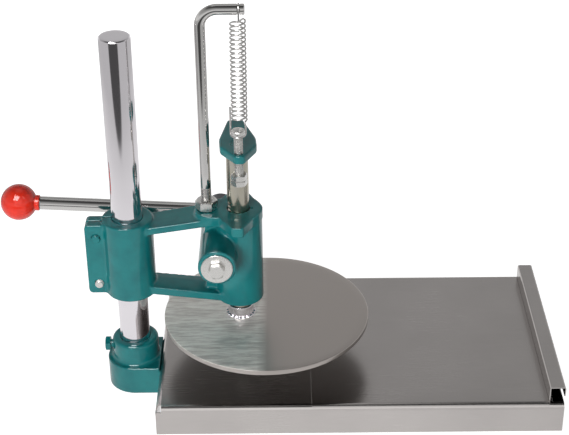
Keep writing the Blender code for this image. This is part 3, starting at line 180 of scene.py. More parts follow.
class HeadSizes(bpy.types.PropertyGroup):
    """The head casting."""
    sleeve_radius: size("Sleeve radius", 29.0, "Outside radius of the split sleeve")
    sleeve_bottom: size("Sleeve bottom", 127.3, "Lower end of the sleeve")
    sleeve_top: size("Sleeve top", 224.0, "Upper end of the sleeve")
    sleeve_chamfer: size("Sleeve chamfer", 0.5, "Chamfer at the sleeve's bore")
    lug_reach: size("Lug reach", 48.4, "How far the clamp lug stands out from the axis")
    lug_half: size("Lug half", 11.8, "Half the lug's thickness")
    lug_bottom: size("Lug bottom", 129.1, "Lower end of the lug")
    lug_top: size("Lug top", 219.5, "Upper end of the lug")
    lug_corner: size("Lug corner", 5.0, "Corner radius of the lug")
    slit: size("Slit", 2.4, "Width of the slit that the bolts close")
    arm_end: size("Arm end", 113.0, "Where both arms end inside the housing")
    upper_arm: size("Upper arm thickness", 8.6, "Thickness of the upper arm")
    lower_arm: size("Lower arm thickness", 9.6, "Thickness of the lower arm")
    lower_arm_fold: size("Lower arm fold", 7.0, "Where the lower arm's top starts to fall back")
    lower_arm_drop: share("Lower arm drop", 0.10, "Slope of that strip towards the back")
    upper_arm_top: size("Upper arm top", 214.8, "Top of the upper arm at the sleeve")
    upper_arm_rise: size("Upper arm rise", 21.2, "Rise of the upper arm towards the ram")
    upper_arm_start: size("Upper arm start", 18.4, "Half width of the upper arm at the sleeve")
    upper_arm_end: size("Upper arm end", 20.6, "Half width of the upper arm at the ram")
    lower_arm_top: size("Lower arm top", 142.9, "Top of the lower arm at the sleeve")
    lower_arm_rise: size("Lower arm rise", -15.1, "Rise of the lower arm towards the ram")
    lower_arm_start: size("Lower arm start", 17.5, "Half width of the lower arm at the sleeve")
    lower_arm_end: size("Lower arm end", 18.4, "Half width of the lower arm at the ram")
    housing_radius: size("Housing radius", 27.0, "Outside radius of the ram's housing")
    housing_bottom: size("Housing bottom", 118.4, "Lower end of the housing")
    housing_top: size("Housing top", 235.0, "Upper face of the pad")
    housing_chamfer: size("Housing chamfer", 0.5, "Chamfer at the ram's bore")
    pad_thickness: size("Pad thickness", 12.3, "Thickness of the pad")
    pad_tip: size("Pad tip", 46.9, "How far the pad's tips stand out along Y")
    pad_tip_half: size("Pad tip half", 6.0, "Half the width of a tip")
    pad_tip_round: size("Pad tip round", 3.5, "Corner radius of a tip")
    pad_side: size("Pad side", 26.6, "How far the pad reaches past the ram")
    pad_side_half: size("Pad side half", 3.5, "Half the width of the pad's blunt side")
    pad_neck: size("Pad neck", -21.2, "Where the pad's neck starts")
    pad_neck_half: size("Pad neck half", 22.4, "Half the width of the neck")
    pad_end: size("Pad end", -49.0, "Where the pad ends over the arm")
    pad_end_round: size("Pad end round", 20.0, "Corner radius of that end")
    oil_hole_x: size("Oil hole", 141.8, "Place of the small oil hole along X")
    oil_hole_y: size("Oil hole depth", -1.0, "Place of the small oil hole along Y")
    oil_hole: size("Oil hole radius", 1.5, "Radius of the oil hole")
    web_start: size("Web start", 88.0, "Where the web under the pad starts")
    web_half: size("Web half", 7.0, "Half the web's thickness")
    boss_radius: size("Boss radius", 21.3, "Outside radius of the pinion's boss")
    boss_half: size("Boss half", 59.7, "Half the length of the boss")
    clamp_x: size("Clamp bolts", -35.8, "Place of the clamp bolts along X")
    clamp_upper: size("Upper clamp bolt", 202.6, "Height of the upper clamp bolt")
    clamp_lower: size("Lower clamp bolt", 142.2, "Height of the lower clamp bolt")


class FastenerSizes(bpy.types.PropertyGroup):
    """Bolts and nuts."""
    shank: size("Shank", 4.9, "Radius of an M10 shank")
    flats: size("Flats", 16.0, "Size across flats of M10 hexagons")
    head: size("Head", 6.4, "Height of an M10 bolt head")
    nut: size("Nut", 6.5, "Height of an M10 nut")
    pitch: size("Pitch", 1.5, "Pitch of the M10 thread")
    thread_depth: size("Thread depth", 0.75, "Depth of the M10 thread")
    gap: size("Gap", 0.3, "Clearance between neighbouring parts")


class RamSizes(bpy.types.PropertyGroup):
    """The ram, its rack and what it carries."""
    x: size("Ram", 126.7, "Place of the ram's axis along X")
    radius: size("Radius", 12.5, "Radius of the ram")
    spigot: size("Spigot", 10.0, "Radius of the ram's lower end")
    top: size("Top", 312.2, "Upper end of the ram in its cap")
    bottom: size("Bottom", 94.6, "Lower end of the ram on the plate")
    rack_bottom: size("Rack bottom", 158.0, "Lower end of the rack")
    rack_top: size("Rack top", 244.0, "Upper end of the rack")
    rack_distance: size("Rack distance", 10.0, "From the ram's axis to the pitch line")
    gear_module: size("Module", 1.5, "Module of the rack and the pinion")
    pinion_x: size("Pinion", 103.2, "Place of the pinion's axis along X")
    pinion_z: size("Pinion height", 191.5, "Height of the pinion's axis")
    journal: size("Journal", 15.0, "Radius of the pinion's journals")
    washer_radius: size("Washer radius", 17.8, "Radius of the washer in front of the boss")
    washer: size("Washer", 2.5, "Thickness of that washer")


class CapSizes(bpy.types.PropertyGroup):
    """The drop-shaped cap, the stop screw and its nuts."""
    top: size("Top", 317.0, "Upper face of the cap")
    thickness: size("Thickness", 10.4, "Thickness of the cap")
    pocket: size("Pocket", 5.6, "Depth of the pocket for the ram")
    shift: size("Shift", 1.6, "How far the cap is off the ram's axis")
    turned: turn("Turn", 4.5, "How far the cap is turned on the ram")
    half: size("Half width", 20.7, "Half the cap's width")
    nose: size("Nose", 32.5, "How far the nose stands out in front")
    nose_half: size("Nose half", 5.0, "Half the width of the nose")
    nose_round: size("Nose round", 6.5, "Corner radius of the nose")
    front_shoulder: size("Front shoulder", 6.0, "Where the sides start to close in front")
    back_shoulder: size("Back shoulder", 13.0, "Where the sides start to close behind")
    front_round: size("Front round", 15.0, "Radius of the front shoulder")
    back_round: size("Back round", 28.0, "Radius of the back shoulder")
    tail: size("Tail", 59.5, "How far the tail reaches back")
    tail_half: size("Tail half", 8.9, "Half the width of the tail")
    tail_round: size("Tail round", 3.5, "Corner radius of the tail")
    edge: size("Edge", 2.4, "Radius of the cap's edges")
    screw_head: size("Screw head", 8.0, "Radius of the cap screw's head")
    stop_x: size("Stop screw", 129.5, "Place of the stop screw along X")
    stop_y: size("Stop screw depth", -21.4, "Place of the stop screw along Y")
    stop_end: size("Stop end", 276.2, "Lower end of the stop screw")
    stop_head: size("Stop head", 338.8, "Underside of the stop screw's head")
    stop_head_radius: size("Stop head radius", 7.8, "Radius of the stop screw's head")
    stop_head_height: size("Stop head height", 5.5, "Height of the stop screw's head")
    nut_lower: size("Lower nut", 277.0, "Underside of the lower stop nut")
    nut_upper: size("Upper nut", 283.8, "Underside of the upper stop nut")


class PlateSizes(bpy.types.PropertyGroup):
    """The round plate and its collar."""
    centre_x: size("Centre", 156.6, "Place of the plate's centre along X")
    radius: size("Radius", 120.0, "Radius of the plate")
    bottom: size("Underside", 88.3, "Underside of the plate")
    thickness: size("Thickness", 6.0, "Thickness of the plate")
    edge: size("Edge", 1.0, "Radius of the plate's rim")
    collar_radius: size("Collar radius", 15.0, "Radius of the collar")
    collar_bottom: size("Collar bottom", 94.6, "Lower end of the collar")
    collar_height: size("Collar height", 13.0, "Height of the collar")
    bead: size("Weld bead", 1.9, "Radius of the weld bead round the collar's foot")
    screw_head: size("Screw head", 7.8, "Radius of the plate screw's head")
    screw_radius: size("Screw radius", 4.0, "Radius of the plate screw's shank")


class HangerSizes(bpy.types.PropertyGroup):
    """The hanger rod and its nut."""
    x: size("Place", 90.9, "Place of the rod's foot along X")
    radius: size("Radius", 6.0, "Radius of the rod")
    foot: size("Foot", 225.0, "Lower end of the rod")
    thread_top: size("Thread top", 262.7, "Upper end of the rod's thread")
    pitch: size("Pitch", 1.75, "Pitch of the rod's thread")
    thread_depth: size("Thread depth", 0.95, "Depth of the rod's thread")
    top: size("Top", 474.9, "Height of the rod's level part")
    bend: size("Bend", 19.0, "Radius of the bend on its centre line")
    end: size("End", 139.1, "Where the rod ends along X")
    hook_x: size("Groove", 132.6, "Place of the spring's groove along X")
    groove_half: size("Groove half", 1.7, "Half the groove's width")
    groove_depth: size("Groove depth", 1.4, "Depth of the groove")
    nut_flats: size("Nut flats", 22.0, "Size across the nut's flats")
    nut_bottom: size("Nut bottom", 235.3, "Underside of the nut")
    nut_height: size("Nut height", 10.8, "Height of the nut")


class SpringSizes(bpy.types.PropertyGroup):
    """The return spring."""
    wire: size("Wire", 1.0, "Radius of the wire")
    radius: size("Coil radius", 8.3, "Radius of the coils on the wire's centre line")
    coils: bpy.props.IntProperty(name="Coils", description="Number of coils", default=22)
    top: size("Top", 461.0, "Height of the first coil")
    bottom: size("Bottom", 352.0, "Height of the last coil")
    top_shift: size("Top shift", 1.5, "How far the first coil is left of the groove")
    foot_x: size("Foot X", 131.0, "Centre of the last coil along X")
    foot_y: size("Foot Y", -13.0, "Centre of the last coil along Y")
    hook_tail: size("Hook tail", 6.5, "How far the free end hangs behind the rod")
    hook_rise: size("Hook rise", 4.5, "Height of the hook's bend above the first coil")
    hook_drop: size("Hook drop", 3.0, "Length of the hook's straight front")
    loop_half: size("Loop half", 8.2, "Half the width of the lower loop")
    loop_back: size("Loop back", 5.0, "How far the loop's strands are behind the screw")
    loop_front: size("Loop front", 6.7, "How far the loop reaches in front of the screw")
    loop_elbow: size("Loop elbow", 9.0, "Height of the bend above the loop")
    loop_tail: size("Loop tail", 369.0, "Height of the free end outside the coils")


class LeverSizes(bpy.types.PropertyGroup):
    """The hub, the lever and its knob."""
    plane_y: size("Plane", 70.2, "Place of the lever along Y")
    raised: turn("Slope", 3.3, "How far the lever rises to the left at rest")
    reach: size("Reach", 238.9, "From the pinion's axis to the middle of the ball")
    radius: size("Radius", 8.0, "Radius of the lever")
    spigot: size("Spigot", 6.0, "Radius of the lever's ends")
    hub_radius: size("Hub radius", 18.0, "Radius of the hub")
    hub_front: size("Hub front", 60.0, "Front face of the hub along Y")
    hub_length: size("Hub length", 20.0, "Length of the hub")
    hub_flat: size("Hub flat", 0.9, "Depth of the flat that the lever shoulders on")
    neck: size("Neck", 9.0, "Radius of the shaft's neck in the hub")
    grub: size("Set screw", 4.0, "Radius of the hub's set screw")
    knob: size("Ball", 21.5, "Radius of the ball")
    collar: size("Ball collar", 9.3, "Radius of the ball's small collar")
    collar_length: size("Ball collar length", 3.4, "Length of that collar")


class Colours(bpy.types.PropertyGroup):
    """Colours of the finishes."""
    enamel: colour("Enamel", (0.008, 0.200, 0.205), "Teal enamel on the castings")
    enamel_deep: colour("Enamel, thick", (0.005, 0.155, 0.165), "Enamel where it lies thicker")
    chrome: colour("Column", (0.80, 0.77, 0.80), "Polished column")
    dark_chrome: colour("Rod and lever", (0.60, 0.59, 0.58), "Polished rods")
    tray: colour("Tray", (0.55, 0.52, 0.505), "Satin stainless sheet")
    plate: colour("Plate", (0.55, 0.505, 0.475), "Brushed stainless plate")
    zinc: colour("Zinc", (0.72, 0.71, 0.69), "Zinc plated screws and nuts")
    ram: colour("Ram", (0.40, 0.36, 0.24), "Ground steel with a faint yellow film")
    hub: colour("Hub", (0.12, 0.12, 0.13), "Dark steel of the hub")
    knob: colour("Ball", (0.88, 0.035, 0.016), "Moulded red ball")


class StageSettings(bpy.types.PropertyGroup):
    """Camera, floor and light."""
    pitch: share("Camera pitch", 0.526576, "How far the camera looks down, in radians")
    yaw: share("Camera yaw", -0.000945, "How far the camera is turned to the left, in radians")
    roll: share("Camera roll", -0.009510, "How far the camera leans, in radians")
    lens: share("Lens", 92.29, "Focal length on a sensor of 36 mm")
    camera_x: share("Camera X", 0.1803, "Place of the camera along X")
    camera_y: share("Camera Y", -1.4337, "Place of the camera along Y")
    camera_z: share("Camera Z", 1.0549, "Height of the camera")
    key: share("Key light", 40.0, "Power of the soft light beside the camera")
    fill: share("Fill light", 5.0, "Power of the soft light on the right")
    back: share("Back light", 18.0, "Power of the soft light behind the press")
    top: share("Top light", 2.0, "Power of the soft light above")
    sheen: share("Sheen light", 11.0, "Power of the wide soft light that shows on bends")
    edge: share("Edge light", 50.0, "Power of the soft light that shows only on edges")
    ambient: share("Ambient", 0.06, "Strength of the even light from all round")


GROUPS = {
    "casting": CastingSizes, "base": BaseSizes, "tray": TraySizes, "column": ColumnSizes,
    "head": HeadSizes, "fastener": FastenerSizes, "ram": RamSizes, "cap": CapSizes,
    "plate": PlateSizes, "hanger": HangerSizes, "spring": SpringSizes, "lever": LeverSizes,
    "colours": Colours, "stage": StageSettings,
}


def settings(group):
    """The scene's settings of one group."""
    return getattr(bpy.context.scene, f"dough_press_{group}")


# Meshes from whole arrays

def unit(vectors):
    """Vectors scaled to a length of one."""
    return vectors / np.linalg.norm(vectors, axis=-1, keepdims=True)


def make_object(name, points, faces, sharp=35.0):
    """Put points and arrays of faces into one smooth mesh object at the origin.

    The faces are turned round together if the volume they enclose, the sum of the tetrahedra
    from the origin to each face, comes out negative.
    """
    points = np.asarray(points, float)
    volume = 0.0
    for group in faces:
        first = points[group[:, 0]]
        for side in range(1, group.shape[1] - 1):
            crossed = np.cross(points[group[:, side]], points[group[:, side + 1]])
            volume += np.einsum("ij,ij->", first, crossed)
    if volume < 0:
        faces = [group[:, ::-1] for group in faces]
    corners = np.concatenate([group.ravel() for group in faces]).astype(np.int32)
    sides = np.concatenate([np.full(len(group), group.shape[1]) for group in faces])
    starts = np.concatenate([[0], np.cumsum(sides)[:-1]]).astype(np.int32)
    mesh = bpy.data.meshes.new(name)
    mesh.vertices.add(len(points))
    mesh.vertices.foreach_set("co", points.astype(np.float32).ravel())
    mesh.loops.add(len(corners))
    mesh.loops.foreach_set("vertex_index", corners)
    mesh.polygons.add(len(sides))
    mesh.polygons.foreach_set("loop_start", starts)
    mesh.update(calc_edges=True)
    if mesh.validate():
        raise RuntimeError(f"{name} has faces that aren't valid")
    mesh.shade_smooth()
    mesh.set_sharp_from_angle(angle=math.radians(sharp))
    item = bpy.data.objects.new(name, mesh)
    bpy.context.scene.collection.objects.link(item)
    return item


def skin(name, rings, closed=False, sharp=35.0):
    """Join rings, an array (rings, columns, 3), by quads.

    The last ring joins the first if closed; otherwise each end is closed by a fan about the
    mean of its ring.
    """
    rows, columns, _ = rings.shape
    index = np.arange(rows * columns).reshape(rows, columns)
    if closed:
        index = np.vstack([index, index[:1]])
    index = np.hstack([index, index[:, :1]])
    quads = np.stack(
        [index[:-1, :-1], index[:-1, 1:], index[1:, 1:], index[1:, :-1]], -1).reshape(-1, 4)
    points = rings.reshape(-1, 3)
    faces = [quads]
    if not closed:
        points = np.vstack([points, rings[0].mean(0), rings[-1].mean(0)])
        first, last = index[0], index[-1]
        pole = np.full(columns, rows * columns)
        faces.append(np.stack([first[1:], first[:-1], pole], -1))
        faces.append(np.stack([last[:-1], last[1:], pole + 1], -1))
    return make_object(name, points, faces, sharp)


def axes_about(direction):
    """Two directions square to a direction, which make a right-handed set with it."""
    helper = Z_AXIS if abs(direction[1]) > 0.9 else Y_AXIS
    first = unit(np.cross(helper, direction))
    return first, np.cross(direction, first)


def around(origin, direction, angle, radii, heights):
    """Rings about an axis: origin + radius (cos angle u + sin angle v) + height w."""
    first, second = axes_about(direction)
    radii, heights = np.broadcast_arrays(radii + 0 * angle, heights + 0 * angle)
    out = np.cos(angle)[..., None] * first + np.sin(angle)[..., None] * second
    return np.asarray(origin) + radii[..., None] * out + heights[..., None] * direction


def circle(columns):
    """Equal angles round a circle."""
    return np.linspace(0, math.tau, columns, endpoint=False)


def soften(corners, closed=False, steps=5):
    """Round each corner (x, y, radius) of a path by the arc tangent to both of its sides.

    With p and q the arms from the arc's centre to its ends and a the angle between them, the
    arc is the centre plus (sin((1 - s) a) p + sin(s a) q) / sin(a) for s from 0 to 1.
    """
    path = []
    for index, (x, y, radius) in enumerate(corners):
        here = np.array((x, y))
        if radius <= 0 or not (closed or 0 < index < len(corners) - 1):
            path.append(here)
            continue
        back = unit(np.array(corners[index - 1][:2]) - here)
        ahead = unit(np.array(corners[(index + 1) % len(corners)][:2]) - here)
        half = math.acos(back @ ahead) / 2
        centre = here + unit(back + ahead) * radius / math.sin(half)
        start = here + back * radius / math.tan(half) - centre
        end = here + ahead * radius / math.tan(half) - centre
        span = math.pi - 2 * half
        along = np.linspace(0, 1, steps + 1)[:, None]
        arc = (np.sin((1 - along) * span) * start + np.sin(along * span) * end) / math.sin(span)
        path.extend(centre + arc)
    return np.array(path)


def turned(name, corners, origin=(0, 0, 0), direction=Z_AXIS, closed=False, columns=96):
    """Turn a softened profile of (radius, height, rounding) about an axis."""
    profile = soften(corners, closed)
    angle = circle(columns)
    rings = around(origin, direction, angle, profile[:, :1], profile[:, 1:])
    return skin(name, rings, closed)


def hexagon_radius(angle, flats):
    """From the centre to a hexagon's side along each angle; angle 0 meets a side's middle."""
    sixth = math.pi / 3
    return flats / 2 / np.cos((angle + sixth / 2) % sixth - sixth / 2)


def hexed(angle, flats, low, high, lead):
    """Rows of radii and heights of a chamfered hexagon, from its lower to its upper face.

    Each face ends in a circle just inside the flats, and beyond that circle the face falls
    away at 30 degrees, which cuts the corners in arcs.
    """
    side = hexagon_radius(angle, flats)
    face = np.full_like(angle, flats * 0.475)
    fall = (side - face) * math.tan(math.radians(30))
    radii = [face, side, side, face]
    heights = [low + 0 * angle, low + fall * lead, high - fall, high + 0 * angle]
    return radii, heights


def thread_cut(angle, height, pitch, depth):
    """How deep a right-handed thread cuts: a V with a flat crest and a rounded root."""
    phase = (height / pitch - angle / math.tau) % 1
    slope = np.clip(1.25 - np.abs(2 * phase - 1) * 1.9, 0, 1)
    return depth * np.sin(slope * math.pi / 2)


def frames_along(path):
    """Two directions square to a path that don't twist along it.

    They start square to a slanted direction, and each is turned back by the sum of the angles
    by which its neighbours turn about the path.
    """
    ahead = unit(np.gradient(path, axis=0))
    side = unit(np.cross(ahead, (0.36, 0.48, 0.80)))
    carried = side[:-1] - np.sum(side[:-1] * ahead[1:], -1, keepdims=True) * ahead[1:]
    sine = np.sum(np.cross(carried, side[1:]) * ahead[1:], -1)
    cosine = np.sum(carried * side[1:], -1)
    twist = np.concatenate([[0.0], np.cumsum(np.arctan2(sine, cosine))])[:, None]
    other = np.cross(ahead, side)
    return (side * np.cos(twist) - other * np.sin(twist),
            side * np.sin(twist) + other * np.cos(twist))


def swept(name, path, radii, columns, sharp=35.0):
    """Carry a circle along a path, with its radius at each (point, angle)."""
    side, other = frames_along(path)
    angle = circle(columns)
    out = (np.cos(angle)[None, :, None] * side[:, None]
           + np.sin(angle)[None, :, None] * other[:, None])
    radii = np.broadcast_to(radii, (len(path), columns))
    return skin(name, path[:, None] + radii[..., None] * out, sharp=sharp)


def eased(corners, rounds=4):
    """Cut every corner of a path at a quarter of its sides, again and again."""
    path = np.array(corners, float)
    for _ in range(rounds):
        first, second = path[:-1], path[1:]
        cuts = np.stack([first * 0.75 + second * 0.25, first * 0.25 + second * 0.75], 1)
        path = np.vstack([path[:1], cuts.reshape(-1, 3), path[-1:]])
    return path


# Distance fields for castings: negative inside, and fillets where fields are joined

def slab(profile, along, low, high, edge):
    """A flat form: a plan's distance field between two heights, with rounded edges.

    With a and b the two distances raised by the edge's radius, the distance is the length of
    their positive parts plus the greater one's negative part, less the radius.
    """
    a = profile + edge
    b = np.abs(along - (low + high) / 2) - (high - low) / 2 + edge
    outside = np.hypot(np.maximum(a, 0), np.maximum(b, 0))
    return outside + np.minimum(np.maximum(a, b), 0) - edge


def panel(x, y, low, high, corner):
    """Distance in plan to a rectangle with rounded corners."""
    middle = (np.array(low) + high) / 2
    half = (np.array(high) - low) / 2 - corner
    a = np.abs(x - middle[0]) - half[0]
    b = np.abs(y - middle[1]) - half[1]
    outside = np.hypot(np.maximum(a, 0), np.maximum(b, 0))
    return outside + np.minimum(np.maximum(a, b), 0) - corner


def outline_field(outline, x, y):
    """Distance in plan to a closed outline: the least distance to its sides, made negative
    where a line towards +X crosses them an odd number of times."""
    x, y = np.broadcast_arrays(x, y)
    least = np.full(x.shape, np.inf)
    inside = np.zeros(x.shape, bool)
    for (ax, ay), (bx, by) in zip(outline, np.roll(outline, -1, axis=0)):
        ex, ey = bx - ax, by - ay
        along = np.clip(((x - ax) * ex + (y - ay) * ey) / (ex * ex + ey * ey), 0, 1)
        least = np.minimum(least, (x - ax - ex * along) ** 2 + (y - ay - ey * along) ** 2)
        if ey != 0:
            crosses = (ay > y) != (by > y)
            inside ^= crosses & (x < ax + ex * (y - ay) / ey)
    return np.where(inside, -1, 1) * np.sqrt(least)


def weld(first, second, reach):
    """The lesser of two fields, with a fillet over a reach where they are nearly equal."""
    near = np.maximum(1 - np.abs(first - second) / reach, 0)
    return np.minimum(first, second) - near * near * reach / 4


def carve(solid, tool, edge):
    """Take a tool's field away from a solid, with its edges rounded."""
    return -weld(-solid, tool, edge)


def bore(radial, z, radius, bottom, top, chamfer):
    """The field of a bore with a chamfer at both mouths."""
    slope = math.sqrt(0.5)
    upper = (radial - radius - (z - top + chamfer)) * slope
    lower = (radial - radius - (bottom + chamfer - z)) * slope
    return np.minimum(radial - radius, np.minimum(upper, lower))


def settled(field, points, cell):
    """Move points down or up the field's slope onto its zero level, twice."""
    step = cell * 0.05
    for _ in range(2):
        x, y, z = points.T
        here = field(x, y, z)
        slope = np.stack([
            field(x + step, y, z) - here,
            field(x, y + step, z) - here,
            field(x, y, z + step) - here,
        ], -1) / step
        move = here / np.maximum(np.sum(slope * slope, -1), 0.3)
        points = points - np.clip(move, -cell, cell)[:, None] * slope
    return points


def cast(name, field, low, high, cell):
    """Turn the zero level of field(x, y, z) into a mesh of quads.

    Each cell of the grid that the level crosses gets one point, the mean of the crossings on
    the cell's edges, and each edge whose ends differ in sign gets a quad of its four cells.
    The points are then moved towards the mean of their neighbours and back onto the level.
    """
    low = np.array(low) - 2 * cell
    count = np.ceil((np.array(high) + 2 * cell - low) / cell).astype(int) + 1
    x, y, z = (low[axis] + cell * np.arange(count[axis]) for axis in range(3))
    value = field(x[:, None, None], y[None, :, None], z[None, None, :])
    inside = value < 0
    cells, places, turned_round = [], [], []
    for axis in range(3):
        start = tuple(slice(0, -1) if k == axis else slice(None) for k in range(3))
        end = tuple(slice(1, None) if k == axis else slice(None) for k in range(3))
        found = np.argwhere(inside[start] != inside[end])
        here, there = value[start][tuple(found.T)], value[end][tuple(found.T)]
        place = found.astype(float)
        place[:, axis] += here / (here - there)
        second, third = (axis + 1) % 3, (axis + 2) % 3
        for back_second, back_third in ((1, 1), (0, 1), (0, 0), (1, 0)):
            corner = found.copy()
            corner[:, second] -= back_second
            corner[:, third] -= back_third
            cells.append(np.ravel_multi_index(corner.T, count))
            places.append(place)
        turned_round.append(here > 0)
    _, number = np.unique(np.concatenate(cells), return_inverse=True)
    place = np.concatenate(places)
    held = np.bincount(number)
    points = np.stack([np.bincount(number, place[:, axis]) for axis in range(3)], -1)
    points = points / held[:, None] * cell + low
    quads, taken = [], 0
    for flip in turned_round:
        edges = len(flip)
        group = number[taken:taken + 4 * edges].reshape(4, edges).T
        quads.append(np.where(flip[:, None], group[:, ::-1], group))
        taken += 4 * edges
    quads = np.concatenate(quads)
    first, second = quads.ravel(), np.roll(quads, -1, axis=1).ravel()
    neighbours = np.bincount(first)[:, None]
    for _ in range(4):
        mean = np.stack([np.bincount(first, points[second, axis]) for axis in range(3)], -1)
        points = settled(field, 0.4 * points + 0.6 * mean / neighbours, cell)
    return make_object(name, points, [quads], 60.0)


# Finishes

class Wire:
    """A node's socket that sums can be written on; each sum adds a Math node."""

    def __init__(self, finish, socket):
        self.finish = finish
        self.socket = socket

    def maths(self, operation, first, second):
        return self.finish.node("ShaderNodeMath", {"operation": operation}, {0: first, 1: second})

    def __add__(self, other):
        return self.maths("ADD", self, other)

    def __radd__(self, other):
        return self.maths("ADD", other, self)

    def __sub__(self, other):
        return self.maths("SUBTRACT", self, other)

    def __rsub__(self, other):
        return self.maths("SUBTRACT", other, self)

    def __mul__(self, other):
        return self.maths("MULTIPLY", self, other)

    def __rmul__(self, other):
        return self.maths("MULTIPLY", other, self)


class Nodes:
    """The node tree of a material or a world, written as expressions."""

    def __init__(self, owner, end, coordinates):
        owner.use_nodes = True
        self.owner, self.end = owner, end
        self.tree = owner.node_tree
        self.tree.nodes.clear()
        self.place = self.node("ShaderNodeTexCoord", output=coordinates)

    def node(self, kind, choices=None, values=None, output=0):
        """Add a node: its choices are set first, then values or links on its sockets."""
        made = self.tree.nodes.new(kind)
        for key, value in (choices or {}).items():
            if key == "stops":
                ramp = made.color_ramp.elements
                while len(ramp) < len(value):
                    ramp.new(0.5)
                for element, (position, shade) in zip(ramp, value):
                    element.position, element.color = position, (shade, shade, shade, 1)
            else:
                setattr(made, key, value)
        for key, value in (values or {}).items():
            socket = made.inputs[key]
            if isinstance(value, Wire):
                self.tree.links.new(value.socket, socket)
            else:
                socket.default_value = (*value, 1) if socket.type == "RGBA" else value
        return Wire(self, made.outputs[output])

    def noise(self, scale, detail=2.0, stretch=(1, 1, 1), roughness=0.5):
        """Smooth noise with so many features to the metre, stretched by a scale on each axis."""
        place = self.node("ShaderNodeMapping", {}, {"Vector": self.place, "Scale": stretch})
        return self.node(
            "ShaderNodeTexNoise", {},
            {"Vector": place, "Scale": scale, "Detail": detail, "Roughness": roughness})

    def axis(self, name):
        """The coordinate along X, Y or Z."""
        return self.node("ShaderNodeSeparateXYZ", {}, {"Vector": self.place}, name)

    def distance(self, point):
        """How far each place is from a point."""
        return self.node(
            "ShaderNodeVectorMath", {"operation": "DISTANCE"}, {0: self.place, 1: point}, "Value")

    def past(self, value, edge):
        """Zero below an edge and one above it."""
        return self.ramp((value - edge) * (1 / FADE), (0.0, 0.0), (1.0, 1.0))

    def between(self, value, low, high):
        """One between two edges and zero outside them."""
        return self.past(value, low) * (1.0 - self.past(value, high))

    def ramp(self, factor, *stops):
        """Read a factor through a ramp of (position, shade)."""
        return self.node("ShaderNodeValToRGB", {"stops": stops}, {"Fac": factor})

    def mix(self, factor, first, second):
        """Mix two colours."""
        return self.node(
            "ShaderNodeMix", {"data_type": "RGBA"}, {0: factor, 6: first, 7: second}, 2)

    def tinted(self, factor, tint, dark, light):
        """A colour setting, from a darker to a lighter shade of it."""
        return self.mix(factor, tuple_of(tint, dark), tuple_of(tint, light))

    def bump(self, height, distance):
        """A normal from a height, with the real height of its whole range in metres."""
        return self.node("ShaderNodeBump", {}, {"Height": height, "Distance": distance})

    def by_ray(self, lit, mirrored, seen):
        """End the tree with a shader for light, one for metal and glass, and one for the eye."""
        sight, shine, clear = (
            self.node("ShaderNodeLightPath", output=f"Is {kind} Ray")
            for kind in ("Camera", "Glossy", "Transmission"))
        unseen = self.node("ShaderNodeMixShader", {}, {0: shine + clear, 1: lit, 2: mirrored})
        return self.close(self.node("ShaderNodeMixShader", {}, {0: sight, 1: unseen, 2: seen}))

    def close(self, shader):
        """Join a shader to the output and give back the material or the world."""
        output = self.tree.nodes.new(self.end)
        self.tree.links.new(shader.socket, output.inputs["Surface"])
        return self.owner


class Finish(Nodes):
    """A procedural material on Object coordinates."""

    def __init__(self, name):
        super().__init__(bpy.data.materials.new(name), "ShaderNodeOutputMaterial", "Object")

    def surface(self, **sockets):
        """Set the shader's sockets, named with underscores, and end the material."""
        values = {key.replace("_", " "): value for key, value in sockets.items()}
        return self.close(self.node("ShaderNodeBsdfPrincipled", {}, values, "BSDF"))

    def metal(self, shade, rough, height, distance):
        """End the material as bare metal."""
        return self.surface(
            Base_Color=shade, Metallic=1.0, Roughness=rough, Normal=self.bump(height, distance))


def tuple_of(value, factor=1.0):
    """A colour setting as a tuple, brightened or darkened."""
    return tuple(min(1.0, channel * factor) for channel in value)


def enamel():
    """Glossy teal enamel over the skin of a sand casting."""
    shades = settings("colours")
    made = Finish("teal_enamel")
    cloud = made.noise(38, 3)
    grit = made.noise(820, 3, roughness=0.6)
    peel = made.noise(240, 1)
    shade = made.mix(
        made.ramp(cloud, (0.35, 0.0), (0.65, 1.0)),
        tuple_of(shades.enamel_deep), tuple_of(shades.enamel))
    return made.surface(
        Base_Color=shade, Roughness=0.05 + 0.09 * grit, IOR=1.47,
        Normal=made.bump(peel * 0.7 + grit * 0.3, 0.00009))


def column_chrome():
    """The column's mirror polish, with fine scratches along it."""
    made = Finish("column_polish")
    lines = made.noise(1500, 3, stretch=(1, 1, 0.02))
    smear = made.noise(22, 2)
    shade = made.tinted(smear, settings("colours").chrome, 0.94, 1.05)
    return made.metal(shade, 0.06 + 0.06 * smear, lines, 0.000003)


def rod_chrome():
    """The mirror finish of the hanger rod and the lever, which scratches and smears dull."""
    made = Finish("rod_polish")
    lines = made.noise(1500, 3, stretch=(1, 1, 0.02))
    smear = made.noise(22, 2)
    shade = made.tinted(smear, settings("colours").dark_chrome, 0.92, 1.06)
    dull = made.ramp(smear * 0.5 + lines * 0.5, (0.3, 0.0), (0.7, 1.0))
    return made.metal(shade, 0.05 + 0.07 * dull, lines, 0.000003)


def zinc():
    """Bright zinc plating with its soft spangle."""
    made = Finish("zinc_plating")
    spangle = made.noise(420, 2, roughness=0.6)
    shade = made.tinted(spangle, settings("colours").zinc, 0.84, 1.1)
    return made.metal(shade, 0.2 + 0.16 * spangle, spangle, 0.00004)


def ram_steel():
    """Ground steel with a thin yellow film that comes and goes."""
    made = Finish("ground_steel")
    rings = made.noise(60, 3, stretch=(0.6, 0.6, 26))
    shades = settings("colours")
    shade = made.mix(made.noise(45, 2), tuple_of(shades.ram), tuple_of(shades.zinc, 0.7))
    return made.metal(shade, 0.12 + 0.14 * rings, rings, 0.000012)


